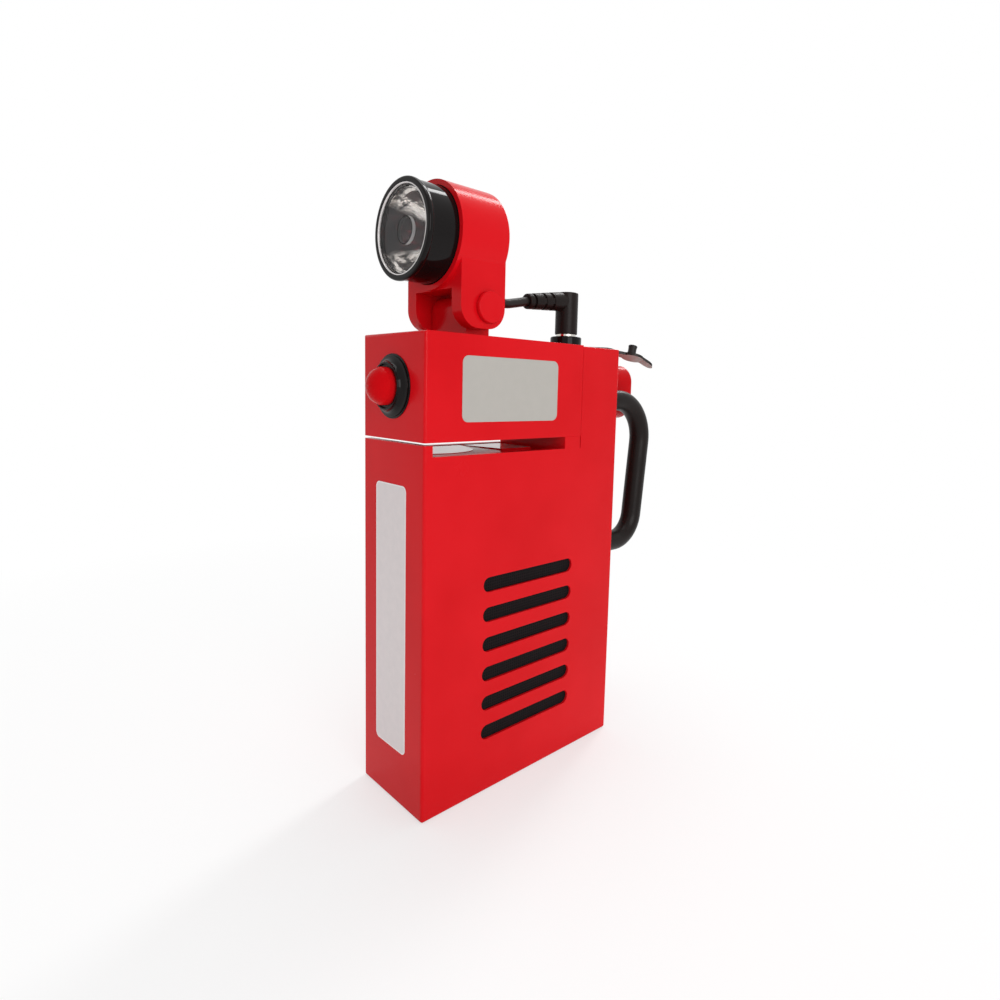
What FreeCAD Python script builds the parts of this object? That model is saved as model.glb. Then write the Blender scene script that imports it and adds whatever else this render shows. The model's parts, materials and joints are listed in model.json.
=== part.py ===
import FreeCAD, Part
import math
import os

import Sketcher
from FreeCAD import Vector

# Water activated emergency light: a slotted red tank that holds the cell, a head that lifts out
# with the metal plate, and a torch lamp that tilts on the head.
# Millimetres, +Z up, origin at the middle of the underside of the tank. The lamp shines towards
# -X, the vent slots face -Y, and the handle and the filler are on +X.

doc = FreeCAD.newDocument("water_lamp")

SIZES = [
    # The tank
    ("body_w", 76.0, "tank width, left face to right face"),
    ("body_d", 30.0, "tank depth, front face to back face"),
    ("body_h", 130.0, "height from the underside to the top of the head"),
    ("wall", 2.5, "tank wall, floor and column roof"),
    ("edge_r", 0.8, "rounding of the outer moulded edges"),
    ("column_w", 18.0, "width of the column beside the lifting head"),
    ("head_h", 28.0, "height of the lifting head"),
    ("gap_h", 3.6, "open gap between the head and the tank rim"),
    ("left_rim_h", 2.9, "rise of the left wall above the rim"),
    ("seam", 0.3, "gap between the head and the column"),
    ("column_drop", 0.3, "how far the column stays below the head's top"),
    ("lip_h", 6.4, "depth of the lip that hangs from the column into the tank"),
    ("ledge_w", 2.0, "width of the ledge inside the mouth"),
    ("ledge_t", 2.5, "thickness of that ledge"),
    ("deck_seal_t", 1.2, "thickness of the seal on the ledge"),
    # The vent slots and the air cathode behind them
    ("slot_side", 20.0, "plain wall from a side face to the end of a slot"),
    ("slot_w", 4.3, "height of a vent slot"),
    ("slot_count", 6, "number of vent slots"),
    ("slot_spacing", 8.7, "distance from slot to slot"),
    ("slot_low_z", 18.0, "height of the lowest slot's middle"),
    ("gasket_t", 0.8, "thickness of the cathode gasket"),
    ("gasket_w", 5.0, "width of the gasket's rim"),
    ("window_side", 3.0, "gasket's window beyond the ends of the slots"),
    ("window_rise", 1.1, "gasket's window above and below the slots"),
    ("cathode_t", 1.0, "thickness of the cathode sheet"),
    ("tab_w", 3.0, "width of the cathode's tab"),
    ("tab_fit", 0.2, "gap between the tab and the column's lip"),
    ("tab_h", 6.5, "height of the cathode's tab"),
    ("clamp_side", 7.0, "clamp frame beyond the cathode sheet, left and right"),
    ("clamp_rise", 1.0, "clamp frame beyond the cathode sheet, above and below"),
    ("clamp_t", 2.0, "thickness of the clamp frame"),
    ("clamp_bar", 3.0, "width of the two bars across the clamp frame"),
    ("clamp_screw_in", 2.5, "clamp screws, in from the clamp frame's ends"),
    ("clamp_screw_drop", 5.0, "outer clamp screws, in from its upper and lower edge"),
    ("boss_r", 2.2, "radius of the clamp screw bosses"),
    ("lead_t", 0.4, "thickness of the nickel leads"),
    ("lead_w", 2.6, "width of the cathode lead"),
    ("lead_rise", 1.8, "cathode lead's turn, above the end of the jack's blade"),
    # The jack, its plug and the dust cap
    ("jack_inset", 10.0, "jack axis, in from the right face"),
    ("jack_r", 4.5, "radius of the jack body"),
    ("jack_body_h", 9.0, "height of the jack body under the roof"),
    ("jack_thread_r", 3.9, "radius of the jack's threaded sleeve"),
    ("thread_fit", 0.1, "clearance round threads and screws"),
    ("run_fit", 0.08, "clearance of sliding and turning fits"),
    ("nut_r", 5.15, "radius of the jack's ring nut"),
    ("nut_t", 2.75, "height of the jack's ring nut"),
    ("blade_w", 1.4, "width of the jack's solder blade"),
    ("blade_t", 0.6, "thickness of the solder blade"),
    ("blade_h", 6.0, "length of the solder blade"),
    ("plug_r", 2.75, "radius of the plug's barrel"),
    ("plug_bore_r", 1.25, "radius of the hole in the barrel"),
    ("plug_depth", 8.2, "how deep the barrel goes below the column's top"),
    ("plug_body_r", 3.7, "radius of the plug's upright part"),
    ("plug_low", 4.7, "underside of the plug's upright part, above the column"),
    ("plug_h", 13.5, "height of the plug's upright part"),
    ("plug_collar_r", 3.3, "radius of the barrel's collar under the upright part"),
    ("plug_collar_t", 0.6, "thickness of that collar"),
    ("relief_reach", 18.3, "from the plug's axis to where the cord enters"),
    ("relief_rise", 8.85, "where the cord enters, above the plug's underside"),
    ("relief_tilt", 6.1, "slope of the plug's strain relief, degrees"),
    ("relief_small_r", 2.35, "radius of the relief at the cord"),
    ("relief_large_r", 3.0, "radius of the relief at the elbow"),
    ("relief_len", 14.0, "length of the relief, up to the elbow"),
    ("groove_w", 1.1, "width of a groove in the relief"),
    ("groove_deep", 0.55, "depth of a groove in the relief"),
    ("groove_pitch", 3.3, "distance from groove to groove"),
    ("cord_r", 1.4, "radius of the lamp's cord"),
    ("strap_t", 1.2, "thickness of the dust cap's strap"),
    ("strap_w", 4.4, "width of the strap"),
    ("strap_turn", -33.8, "direction of the strap over the column, degrees"),
    ("ring_r", 4.9, "radius of the strap's ring under the nut"),
    ("strap_hinge", 13.8, "from the jack axis to where the strap bends"),
    ("strap_slit", 0.3, "gap between the strap's two lengths at the bend"),
    ("disc_s", 23.3, "from the jack axis to the middle of the dust cap"),
    ("disc_r", 4.4, "radius of the dust cap"),
    ("nub_r", 1.5, "radius of the dust cap's stopper"),
    ("nub_h", 3.4, "height of the dust cap's stopper"),
    ("pull_s", 30.0, "from the jack axis to the end of the pull tab"),
    ("pull_w", 3.2, "width of the pull tab"),
    ("droop", 2.3, "how far the dust cap hangs below the strap"),
    ("pull_droop", 5.0, "how far the pull tab's end hangs below the strap"),
    # The handle
    ("handle_inset", 4.2, "handle's plane, in from the front face"),
    ("handle_r", 3.4, "radius of the handle's tube"),
    ("handle_drop", 16.8, "handle's upper arm, below the top of the head"),
    ("handle_span", 48.4, "height from arm to arm"),
    ("grip_high", 18.0, "grip's upper end, out from the right face"),
    ("grip_low", 15.2, "grip's lower end, out from the right face"),
    ("bend_high_r", 13.2, "radius of the upper bend"),
    ("bend_low_r", 9.6, "radius of the lower bend"),
    # The filler
    ("filler_beside", 13.4, "filler axis, behind the handle's plane"),
    ("filler_drop", 14.0, "filler axis, below the top of the head"),
    ("cap_size", 18.8, "filler cap, across its flats"),
    ("cap_r", 6.0, "filler cap, corner radius"),
    ("cap_gap", 0.6, "gap between the cap and the tank"),
    ("cap_len", 17.8, "length of the filler cap"),
    ("cap_wall", 1.6, "wall of the filler cap"),
    ("cap_end_t", 2.0, "end of the filler cap"),
    ("cap_edge_r", 1.2, "rounding of the cap's outer end"),
    ("filler_seal_t", 1.5, "thickness of the seal in the cap"),
    ("spout_fit", 0.3, "gap between the cap and the spout"),
    ("spout_wall", 2.0, "wall of the spout"),
    # The head
    ("head_wall", 2.2, "wall of the head's shell"),
    ("post_d", 16.0, "depth of the hinge post"),
    ("post_r", 4.0, "half width of the post and radius of its top"),
    ("pin_x", 22.0, "hinge pin, in from the left face"),
    ("pin_rise", 7.8, "hinge pin, above the head's top"),
    ("pin_r", 2.0, "radius of the hinge pin"),
    ("column_boss_r", 2.5, "radius of the screw columns in the head"),
    ("column_boss_in", 2.3, "screw columns, in from the shell's inner faces"),
    ("base_t", 2.2, "thickness of the head's base"),
    ("base_fit", 0.15, "gap round the head's base"),
    ("standoff_r", 1.8, "radius of the circuit board's standoffs"),
    ("standoff_h", 3.0, "height of the standoffs"),
    ("standoff_side_in", 2.0, "standoffs, in from the board's long edges"),
    ("standoff_in", 2.7, "left standoffs, in from the board's left end"),
    ("standoff_right_in", 6.6, "right standoffs, in from the board's right end"),
    ("board_gap", 4.0, "room between the switch and the circuit board"),
    ("board_fit", 1.0, "gap between the circuit board and the screw columns"),
    ("board_t", 1.6, "thickness of the circuit board"),
    ("board_inset", 2.7, "circuit board, in from the head's right face"),
    ("coil_r", 3.4, "radius of the coil on the board"),
    ("coil_h", 4.6, "height of the coil"),
    ("coil_in", 12.9, "coil, in from the board's left end"),
    ("can_r", 2.5, "radius of the capacitor"),
    ("can_h", 8.0, "height of the capacitor"),
    ("can_in", 17.0, "capacitor, in from the board's right end"),
    ("chip_size", 4.6, "side of the driver chip"),
    ("chip_t", 1.6, "height of the driver chip"),
    ("chip_in", 8.5, "driver chip, in from the board's right end"),
    ("terminal_w", 4.0, "width of the terminal block"),
    ("terminal_d", 5.0, "depth of the terminal block"),
    ("terminal_h", 5.5, "height of the terminal block"),
    ("terminal_in", 5.4, "terminal block, in from the board's left end"),
    ("switch_drop", 14.0, "switch axis, below the head's top"),
    ("switch_r", 5.7, "radius of the switch's threaded sleeve"),
    ("switch_out", 2.0, "how far the sleeve stands out of the wall"),
    ("switch_flange_r", 6.6, "radius of the switch's inner flange"),
    ("switch_flange_t", 1.5, "thickness of the inner flange"),
    ("switch_box", 12.8, "side of the switch's square body"),
    ("switch_len", 10.3, "length of the switch's square body"),
    ("collar_r", 8.05, "radius of the black collar"),
    ("collar_t", 2.5, "thickness of the black collar"),
    ("button_r", 5.0, "radius of the push button"),
    ("button_out", 3.7, "straight part of the button outside the wall"),
    ("button_dome", 3.6, "height of the button's dome"),
    ("button_in", 5.0, "length of the button inside the wall face"),
    ("button_travel", 2.5, "room behind the button"),
    # The carrier and the metal plate
    ("foot_w", 6.8, "width of the foot between the head and the rim"),
    ("deck_t", 2.2, "thickness of the carrier's deck"),
    ("deck_drop", 0.3, "deck's top, below the rim"),
    ("deck_fit", 0.3, "gap round the deck"),
    ("deck_land_w", 31.5, "raised part of the deck, from the left face"),
    ("deck_dip", 1.0, "how far the rest of the deck is lower"),
    ("vent_end", 2.7, "from the foot to the deck's gas vents"),
    ("vent_d", 3.0, "width of the deck's gas vents"),
    ("vent_y", 7.0, "gas vents, from the middle"),
    ("plate_side", 3.9, "room beside the metal plate in the mouth"),
    ("plate_foot", 8.4, "room under the metal plate"),
    ("plate_t", 3.0, "thickness of the metal plate"),
    ("hanger_h", 11.2, "height of the hanger's jaws"),
    ("hanger_t", 1.8, "thickness of a jaw"),
    ("hanger_in", 14.0, "hanger, in from the left face"),
    ("hanger_end", 12.0, "hanger, in from the head's right face"),
    ("anode_lead_w", 3.0, "width of the anode lead"),
    ("anode_screw_a", 22.0, "first plate screw, from the left face"),
    ("anode_screw_b", 15.0, "second plate screw, in from the head's right face"),
    ("anode_screw_drop", 7.2, "plate screws, below the deck's underside"),
    # The lamp
    ("lamp_r", 14.4, "radius of the lamp's barrel"),
    ("lamp_rise", 18.8, "lamp axis, above the hinge pin"),
    ("lamp_front", 11.5, "front of the lamp's barrel, from the left face"),
    ("ear_front", 12.7, "front of the fork, from the left face"),
    ("ear_r", 5.8, "radius of the fork's lower corners"),
    ("ear_t", 4.1, "thickness of a fork ear"),
    ("fork_d", 25.0, "depth of the fork over both ears"),
    ("lamp_bore_r", 13.0, "bore of the lamp's barrel"),
    ("lamp_back_t", 2.0, "back wall of the lamp's barrel"),
    ("lamp_shoulder", 8.1, "from the barrel's front to the shoulder for the LED board"),
    ("lamp_core_r", 9.0, "radius of the hollow behind the LED board"),
    ("bezel_len", 9.3, "how far the bezel stands out of the barrel"),
    ("bezel_in", 4.5, "how far the bezel goes into the barrel"),
    ("rim_r", 13.4, "radius of the bezel's front rim"),
    ("rim_t", 1.6, "thickness of the bezel's front rim"),
    ("tube_r", 13.2, "radius of the bezel's tube in front of the barrel"),
    ("bezel_r", 12.9, "radius of the bezel inside the barrel"),
    ("bezel_bore_r", 11.75, "bore of the bezel"),
    ("lens_seat_r", 12.15, "radius of the seat for the lens, open to the front"),
    ("lens_inset", 0.5, "how far the lens is set back from the rim"),
    ("lens_t", 1.4, "thickness of the lens"),
    ("lens_fit", 0.1, "gap round the lens"),
    ("lens_seal_t", 2.1, "thickness of the lens seal"),
    ("lens_seal_w", 0.8, "width of the lens seal"),
    ("reflector_t", 0.7, "wall of the reflector"),
    ("reflector_eye_r", 2.6, "hole in the reflector"),
    ("reflector_curve_r", 15.5, "radius of the reflector's curve"),
    ("led_board_t", 1.6, "thickness of the LED board"),
    ("led_r", 2.3, "radius of the LED's base"),
    ("led_base_t", 0.9, "height of the LED's base"),
    ("led_dome_r", 1.9, "radius of the LED's dome at its base"),
    ("led_dome_h", 1.6, "height of the LED's dome"),
    ("pin_head_r", 4.3, "radius of the hinge pin's head"),
    ("pin_head_t", 1.5, "thickness of the hinge pin's head"),
    ("clip_r", 3.7, "radius of the pin's clip"),
    ("clip_t", 0.8, "thickness of the pin's clip"),
    ("gland_r", 1.95, "radius of the cord gland"),
    ("gland_out", 1.2, "how far the gland stands out"),
    ("gland_in", 3.0, "how deep the gland goes"),
    ("gland_stem_r", 1.5, "radius of the gland's stem"),
    ("gland_rise", 2.1, "cord gland, above the barrel's underside"),
    # Screws
    ("screw_r", 0.9, "shank radius of the small screws"),
    ("screw_head_r", 1.7, "head radius of the small screws"),
    ("screw_head_t", 1.2, "head height of the small screws"),
    ("frame_screw_len", 4.6, "shank length of the clamp screws"),
    ("base_screw_len", 8.0, "shank length of the base screws"),
    ("foot_screw_len", 5.2, "shank length of the foot screws"),
    ("foot_screw_gap", 5.0, "foot screws, in from the screw columns"),
    ("foot_screw_in", 4.3, "foot screws, in from the head's right face"),
    ("board_screw_len", 3.6, "shank length of the board screws"),
    ("handle_screw_len", 8.0, "shank length of the handle screws"),
]


def make_sheet(rows):
    """Write every driving size into a spreadsheet, one named cell a row."""
    sheet = doc.addObject("Spreadsheet::Sheet", "Sizes")
    for row, (alias, amount, note) in enumerate(rows, start=1):
        sheet.set("A%d" % row, note)
        sheet.set("B%d" % row, str(amount))
        sheet.setAlias("B%d" % row, alias)
    doc.recompute()
    return sheet


class Term:
    """A length as a number, together with the sheet formula that gives it."""

    def __init__(self, formula, value):
        self.formula = formula
        self.value = value

    def __add__(self, other):
        return join(self, "+", other, self.value + number(other))

    def __radd__(self, other):
        return join(other, "+", self, number(other) + self.value)

    def __sub__(self, other):
        return join(self, "-", other, self.value - number(other))

    def __rsub__(self, other):
        return join(other, "-", self, number(other) - self.value)

    def __mul__(self, other):
        return join(self, "*", other, self.value * number(other))

    def __rmul__(self, other):
        return join(other, "*", self, number(other) * self.value)

    def __truediv__(self, other):
        return join(self, "/", other, self.value / number(other))

    def __neg__(self):
        return Term("(0 - %s)" % self.formula, -self.value)


def number(term):
    return term.value if isinstance(term, Term) else float(term)


def text(term):
    return term.formula if isinstance(term, Term) else repr(float(term))


def join(left_term, sign, right_term, value):
    return Term("(%s %s %s)" % (text(left_term), sign, text(right_term)), value)


class Sheet:
    """Reads a size by its name, as the number in the sheet and its formula."""

    def __init__(self, sheet):
        self.sheet = sheet

    def __getattr__(self, alias):
        return Term("Sizes.%s" % alias, float(self.sheet.get(alias)))


size = Sheet(make_sheet(SIZES))

# Places that several pieces share
left = -(size.body_w / 2)
right = size.body_w / 2
face = size.body_d / 2
inner_face = face - size.wall
head_right = right - size.column_w
head_low_z = size.body_h - size.head_h
rim_z = head_low_z - size.gap_h
column_left = head_right + size.seam
column_top = size.body_h - size.column_drop
deck_top = rim_z - size.deck_drop
deck_low = deck_top - size.deck_t
ledge_top = deck_low - size.deck_seal_t
mouth_left = left + size.wall
lip_right = column_left + size.wall
slots_rise = size.slot_spacing * (size.slot_count - 1)
slots_middle_z = size.slot_low_z + slots_rise / 2
slot_len = size.body_w - size.slot_side * 2
window_w = slot_len + size.window_side * 2
window_h = slots_rise + size.slot_w + size.window_rise * 2
cathode_w = window_w + size.gasket_w * 2
cathode_h = window_h + size.gasket_w * 2
clamp_w = cathode_w + size.clamp_side * 2
clamp_h = cathode_h + size.clamp_rise * 2
cathode_face = inner_face - size.gasket_t
clamp_face = cathode_face - size.cathode_t
clamp_back = clamp_face - size.clamp_t
jack_x = right - size.jack_inset
nut_low_z = column_top + size.strap_t
jack_top = nut_low_z + size.nut_t
blade_low_z = column_top - size.wall - size.jack_body_h - size.blade_h
lead_z = blade_low_z + size.lead_rise
plug_low_z = column_top + size.plug_low
plug_high_z = plug_low_z + size.plug_h
relief_x = jack_x - size.relief_reach
relief_z = plug_low_z + size.relief_rise
handle_y = -(face - size.handle_inset)
handle_high_z = size.body_h - size.handle_drop
handle_low_z = handle_high_z - size.handle_span
filler_y = handle_y + size.filler_beside
filler_z = size.body_h - size.filler_drop
pin_x = left + size.pin_x
pin_z = size.body_h + size.pin_rise
lamp_z = pin_z + size.lamp_rise
lamp_front = left + size.lamp_front
lamp_back = pin_x + size.ear_r
lamp_low_z = lamp_z - size.lamp_r
base_top = head_low_z + size.base_t
switch_z = size.body_h - size.switch_drop
switch_wall = left + size.head_wall
switch_end = switch_wall + size.switch_flange_t + size.switch_len
spout_end = right + size.cap_gap + size.cap_len - size.cap_end_t - size.filler_seal_t


# Sketches
def plane_of(body, role):
    for feature in body.Origin.OriginFeatures:
        if feature.Role == role:
            return feature
    raise ValueError(role)


def new_sketch(body, name, plane, shift=(0, 0, 0), turn=None):
    """Attach a sketch to one of the body's own planes, moved along that plane's own axes."""
    sketch = body.newObject("Sketcher::SketchObject", name)
    sketch.AttachmentSupport = [(plane_of(body, plane + "_Plane"), "")]
    sketch.MapMode = "FlatFace"
    sketch.AttachmentOffset = FreeCAD.Placement(
        Vector(*[number(term) for term in shift]),
        FreeCAD.Rotation(Vector(0, 0, 1), number(turn or 0)),
    )
    for axis, term in zip("xyz", shift):
        if isinstance(term, Term):
            sketch.setExpression("AttachmentOffset.Base." + axis, term.formula)
    if isinstance(turn, Term):
        sketch.setExpression("AttachmentOffset.Rotation.Angle", turn.formula)
    return sketch


def bind(sketch, kind, places, term):
    """Add one constraint and drive it from the sheet."""
    index = sketch.addConstraint(Sketcher.Constraint(kind, *places, number(term)))
    if isinstance(term, Term):
        sketch.setExpression("Constraints[%d]" % index, term.formula)


def pin_point(sketch, edge, end, point):
    bind(sketch, "DistanceX", (edge, end), point[0])
    bind(sketch, "DistanceY", (edge, end), point[1])


def arc_between(start, end, radius, side):
    """The short arc from start to end. It bulges to the left of the way there if side is 1."""
    chord = end - start
    half = chord.Length / 2
    height = math.sqrt(max(radius * radius - half * half, 0.0))
    normal = Vector(-chord.y, chord.x, 0)
    normal.normalize()
    middle = (start + end) / 2
    crown = middle + normal * side * (radius - height)
    return Part.Arc(start, crown, end)


def outline(sketch, points, arcs=None):
    """Draw one closed outline. Every corner is bound to the sheet, and arcs holds the radius and
    the side of each edge that is round, by the number of the corner where the edge starts."""
    arcs = arcs or {}
    first = sketch.GeometryCount
    flat = [Vector(number(x), number(y), 0) for x, y in points]
    count = len(flat)
    begins = {}
    for index in range(count):
        start = flat[index]
        end = flat[(index + 1) % count]
        if index in arcs:
            radius, side = arcs[index]
            edge = arc_between(start, end, number(radius), side)
            sketch.addGeometry(edge, False)
            begins[index] = 2 if side > 0 else 1
        else:
            sketch.addGeometry(Part.LineSegment(start, end), False)
            begins[index] = 1
    for index in range(count):
        follower = (index + 1) % count
        places = (first + index, 3 - begins[index], first + follower, begins[follower])
        sketch.addConstraint(Sketcher.Constraint("Coincident", *places))
    for index in range(count):
        pin_point(sketch, first + index, begins[index], points[index])
        if index in arcs:
            bind(sketch, "Radius", (first + index,), arcs[index][0])


def rectangle(sketch, low, high):
    outline(sketch, [low, (high[0], low[1]), high, (low[0], high[1])])


def rounded_rectangle(sketch, low, high, radius):
    x_low, y_low = low
    x_high, y_high = high
    points = [
        (x_low + radius, y_low),
        (x_high - radius, y_low),
        (x_high, y_low + radius),
        (x_high, y_high - radius),
        (x_high - radius, y_high),
        (x_low + radius, y_high),
        (x_low, y_high - radius),
        (x_low, y_low + radius),
    ]
    outline(sketch, points, {corner: (radius, -1) for corner in (1, 3, 5, 7)})


def circle(sketch, centre, radius):
    edge = sketch.GeometryCount
    middle = Vector(number(centre[0]), number(centre[1]), 0)
    sketch.addGeometry(Part.Circle(middle, Vector(0, 0, 1), number(radius)), False)
    bind(sketch, "Radius", (edge,), radius)
    pin_point(sketch, edge, 3, centre)


# Features
def new_body(label):
    body = doc.addObject("PartDesign::Body", label)
    body.Label = label
    return body


def grow(kind, body, name, sketch, length, symmetric, backwards):
    feature = body.newObject("PartDesign::" + kind, name)
    feature.Profile = sketch
    feature.Length = number(length)
    feature.setExpression("Length", text(length))
    feature.SideType = "Symmetric" if symmetric else "One side"
    feature.Reversed = backwards
    doc.recompute()
    return feature


def pad(body, name, sketch, length, symmetric=False, backwards=False):
    return grow("Pad", body, name, sketch, length, symmetric, backwards)


def pocket(body, name, sketch, length, symmetric=False, backwards=False):
    """Cut into the solid, and stop if the cut takes nothing away."""
    before = body.Shape.Volume
    feature = grow("Pocket", body, name, sketch, length, symmetric, backwards)
    if body.Shape.Volume > before - 1e-6:
        raise ValueError("%s of %s cuts nothing" % (name, body.Label))
    return feature


def revolve(body, name, sketch, axis, kind="Revolution"):
    feature = body.newObject("PartDesign::" + kind, name)
    feature.Profile = sketch
    feature.ReferenceAxis = (sketch, [axis])
    feature.Angle = 360.0
    doc.recompute()
    return feature


def repeat(body, name, feature, sketch, axis, pitch, count):
    """Repeat a feature along one of its sketch's axes."""
    pattern = body.newObject("PartDesign::LinearPattern", name)
    pattern.Originals = [feature]
    pattern.Direction = (sketch, [axis])
    pattern.setExpression("Length", text(pitch * (count - 1)))
    pattern.setExpression("Occurrences", text(count))
    body.Tip = pattern
    doc.recompute()
    return pattern


def edges_where(shape, test):
    """Names of the edges whose middle and two ends pass the test."""
    names = []
    for index, edge in enumerate(shape.Edges, start=1):
        ends = [vertex.Point for vertex in edge.Vertexes]
        middle = edge.valueAt((edge.FirstParameter + edge.LastParameter) / 2)
        if all(test(point) for point in ends + [middle]):
            names.append("Edge%d" % index)
    return names


def fillet(body, name, test, radius):
    base = body.Tip
    feature = body.newObject("PartDesign::Fillet", name)
    feature.Base = (base, edges_where(base.Shape, test))
    feature.Radius = number(radius)
    feature.setExpression("Radius", text(radius))
    doc.recompute()
    return feature


def near(value, term, slack=0.01):
    return abs(value - number(term)) < slack


def on_circle(point, centre_y, centre_z, radius):
    reach = math.hypot(point.y - number(centre_y), point.z - number(centre_z))
    return near(reach, radius)


# Part primitives, for screws and other small turned things
AXIS_TURNS = {
    "+Z": FreeCAD.Rotation(),
    "-Z": FreeCAD.Rotation(Vector(1, 0, 0), 180),
    "+X": FreeCAD.Rotation(Vector(0, 1, 0), 90),
    "-X": FreeCAD.Rotation(Vector(0, 1, 0), -90),
    "+Y": FreeCAD.Rotation(Vector(1, 0, 0), -90),
    "-Y": FreeCAD.Rotation(Vector(1, 0, 0), 90),
}


def bind_place(obj, place, direction="+Z"):
    obj.Placement = FreeCAD.Placement(
        Vector(*[number(term) for term in place]), AXIS_TURNS[direction]
    )
    for axis, term in zip("xyz", place):
        if isinstance(term, Term):
            obj.setExpression("Placement.Base." + axis, term.formula)


def cylinder(name, radius, height, place, direction="+Z"):
    obj = doc.addObject("Part::Cylinder", name)
    obj.setExpression("Radius", text(radius))
    obj.setExpression("Height", text(height))
    bind_place(obj, place, direction)
    return obj


def box(name, low, high):
    obj = doc.addObject("Part::Box", name)
    for prop, start, end in zip(("Length", "Width", "Height"), low, high):
        obj.setExpression(prop, text(end - start))
    bind_place(obj, low)
    return obj


def fuse(name, pieces):
    obj = doc.addObject("Part::MultiFuse", name)
    obj.Shapes = pieces
    return obj


def group(label, pieces):
    """One node that holds several separate solids."""
    obj = doc.addObject("Part::Compound", label)
    obj.Links = pieces
    obj.Label = label
    return obj


def moved(place, direction, distance):
    """A place moved along one of the six directions."""
    sign = 1 if direction[0] == "+" else -1
    result = list(place)
    index = "XYZ".index(direction[1])
    result[index] = result[index] + distance * sign
    return tuple(result)


OPPOSITE = {"+": "-", "-": "+"}


def screw(name, seat, direction, length, shank_r=None, head_r=None, head_t=None):
    """A screw whose head stands on the seat and whose shank runs the given way from it."""
    back = OPPOSITE[direction[0]] + direction[1]
    shank = cylinder(name + "_shank", shank_r or size.screw_r, length, seat, direction)
    head = cylinder(
        name + "_head", head_r or size.screw_head_r, head_t or size.screw_head_t, seat, back
    )
    return fuse(name, [shank, head])


# The tank: a moulded box with a column, a mouth for the head, vent slots and a filler spout
CLAMP_ROWS = (-1, 0, 1)


def clamp_screw_places():
    reach = clamp_w / 2 - size.clamp_screw_in
    rise = clamp_h / 2 - size.clamp_screw_drop
    places = []
    for side in (-1, 1):
        for row in CLAMP_ROWS:
            places.append((reach * side, slots_middle_z + rise * row))
    return places


def handle_ends():
    return [(handle_y, handle_high_z), (handle_y, handle_low_z)]


def tank_walls(body):
    sketch = new_sketch(body, "tank_side", "XZ")
    outline(
        sketch,
        [
            (left, 0),
            (right, 0),
            (right, column_top),
            (column_left, column_top),
            (column_left, rim_z),
            (mouth_left, rim_z),
            (mouth_left, rim_z + size.left_rim_h),
            (left, rim_z + size.left_rim_h),
        ],
    )
    pad(body, "tank_block", sketch, size.body_d, symmetric=True)

    outer = [(left, face), (left, -face), (right, face), (right, -face)]

    def outer_edge(point):
        upright = any(near(point.x, x) and near(point.y, y) for x, y in outer)
        return upright or near(point.z, 0)

    fillet(body, "tank_edges", outer_edge, size.edge_r)

    def top_edge(point):
        return near(point.z, column_top) and not near(point.x, column_left)

    fillet(body, "column_top_edges", top_edge, size.edge_r / 2)

    sketch = new_sketch(body, "cavity_side", "XZ")
    outline(
        sketch,
        [
            (mouth_left, size.wall),
            (right - size.wall, size.wall),
            (right - size.wall, column_top - size.wall),
            (lip_right, column_top - size.wall),
            (lip_right, rim_z - size.lip_h),
            (column_left, rim_z - size.lip_h),
            (column_left, rim_z + size.left_rim_h),
            (mouth_left, rim_z + size.left_rim_h),
        ],
    )
    pocket(body, "cavity", sketch, size.body_d - size.wall * 2, symmetric=True)


def tank_ledge(body):
    sketch = new_sketch(body, "ledge_ring", "XY", (0, 0, ledge_top))
    overlap = size.wall / 2
    rectangle(
        sketch,
        (mouth_left - overlap, -inner_face - overlap),
        (column_left + overlap, inner_face + overlap),
    )
    rectangle(
        sketch,
        (mouth_left + size.ledge_w, size.ledge_w - inner_face),
        (column_left - size.ledge_w, inner_face - size.ledge_w),
    )
    pad(body, "ledge", sketch, size.ledge_t, backwards=True)


def tank_slots(body):
    half = slot_len / 2 - size.slot_w / 2
    rise = size.slot_w / 2
    sketch = new_sketch(body, "lowest_slot", "XZ", (0, size.slot_low_z, face))
    outline(
        sketch,
        [(-half, -rise), (half, -rise), (half, rise), (-half, rise)],
        {1: (rise * 1.0001, -1), 3: (rise * 1.0001, -1)},
    )
    slot = pocket(body, "vent_slot", sketch, size.wall)
    repeat(body, "vent_slots", slot, sketch, "V_Axis", size.slot_spacing, size.slot_count)


def tank_bosses(body):
    sketch = new_sketch(body, "boss_circles", "XZ", (0, 0, inner_face))
    for place in clamp_screw_places():
        circle(sketch, place, size.boss_r)
    pad(body, "clamp_bosses", sketch, size.gasket_t + size.cathode_t, backwards=True)
    sketch = new_sketch(body, "boss_holes", "XZ", (0, 0, clamp_face))
    for place in clamp_screw_places():
        circle(sketch, place, size.screw_r + size.thread_fit)
    depth = size.frame_screw_len - size.clamp_t + size.thread_fit
    pocket(body, "clamp_holes", sketch, depth, backwards=True)


def filler_square(sketch, side, radius):
    low = (filler_y - side / 2, filler_z - side / 2)
    high = (filler_y + side / 2, filler_z + side / 2)
    rounded_rectangle(sketch, low, high, radius)


cap_bore = size.cap_size - size.cap_wall * 2
cap_bore_r = size.cap_r - size.cap_wall
spout_size = cap_bore - size.spout_fit * 2
spout_r = cap_bore_r - size.spout_fit


def tank_spout(body):
    sketch = new_sketch(body, "spout_outline", "YZ", (0, 0, right - size.wall))
    filler_square(sketch, spout_size, spout_r)
    pad(body, "spout", sketch, spout_end - right + size.wall)
    sketch = new_sketch(body, "spout_bore", "YZ", (0, 0, spout_end))
    filler_square(sketch, spout_size - size.spout_wall * 2, spout_r - size.spout_wall)
    pocket(body, "spout_hole", sketch, spout_end - right + size.wall)


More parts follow.
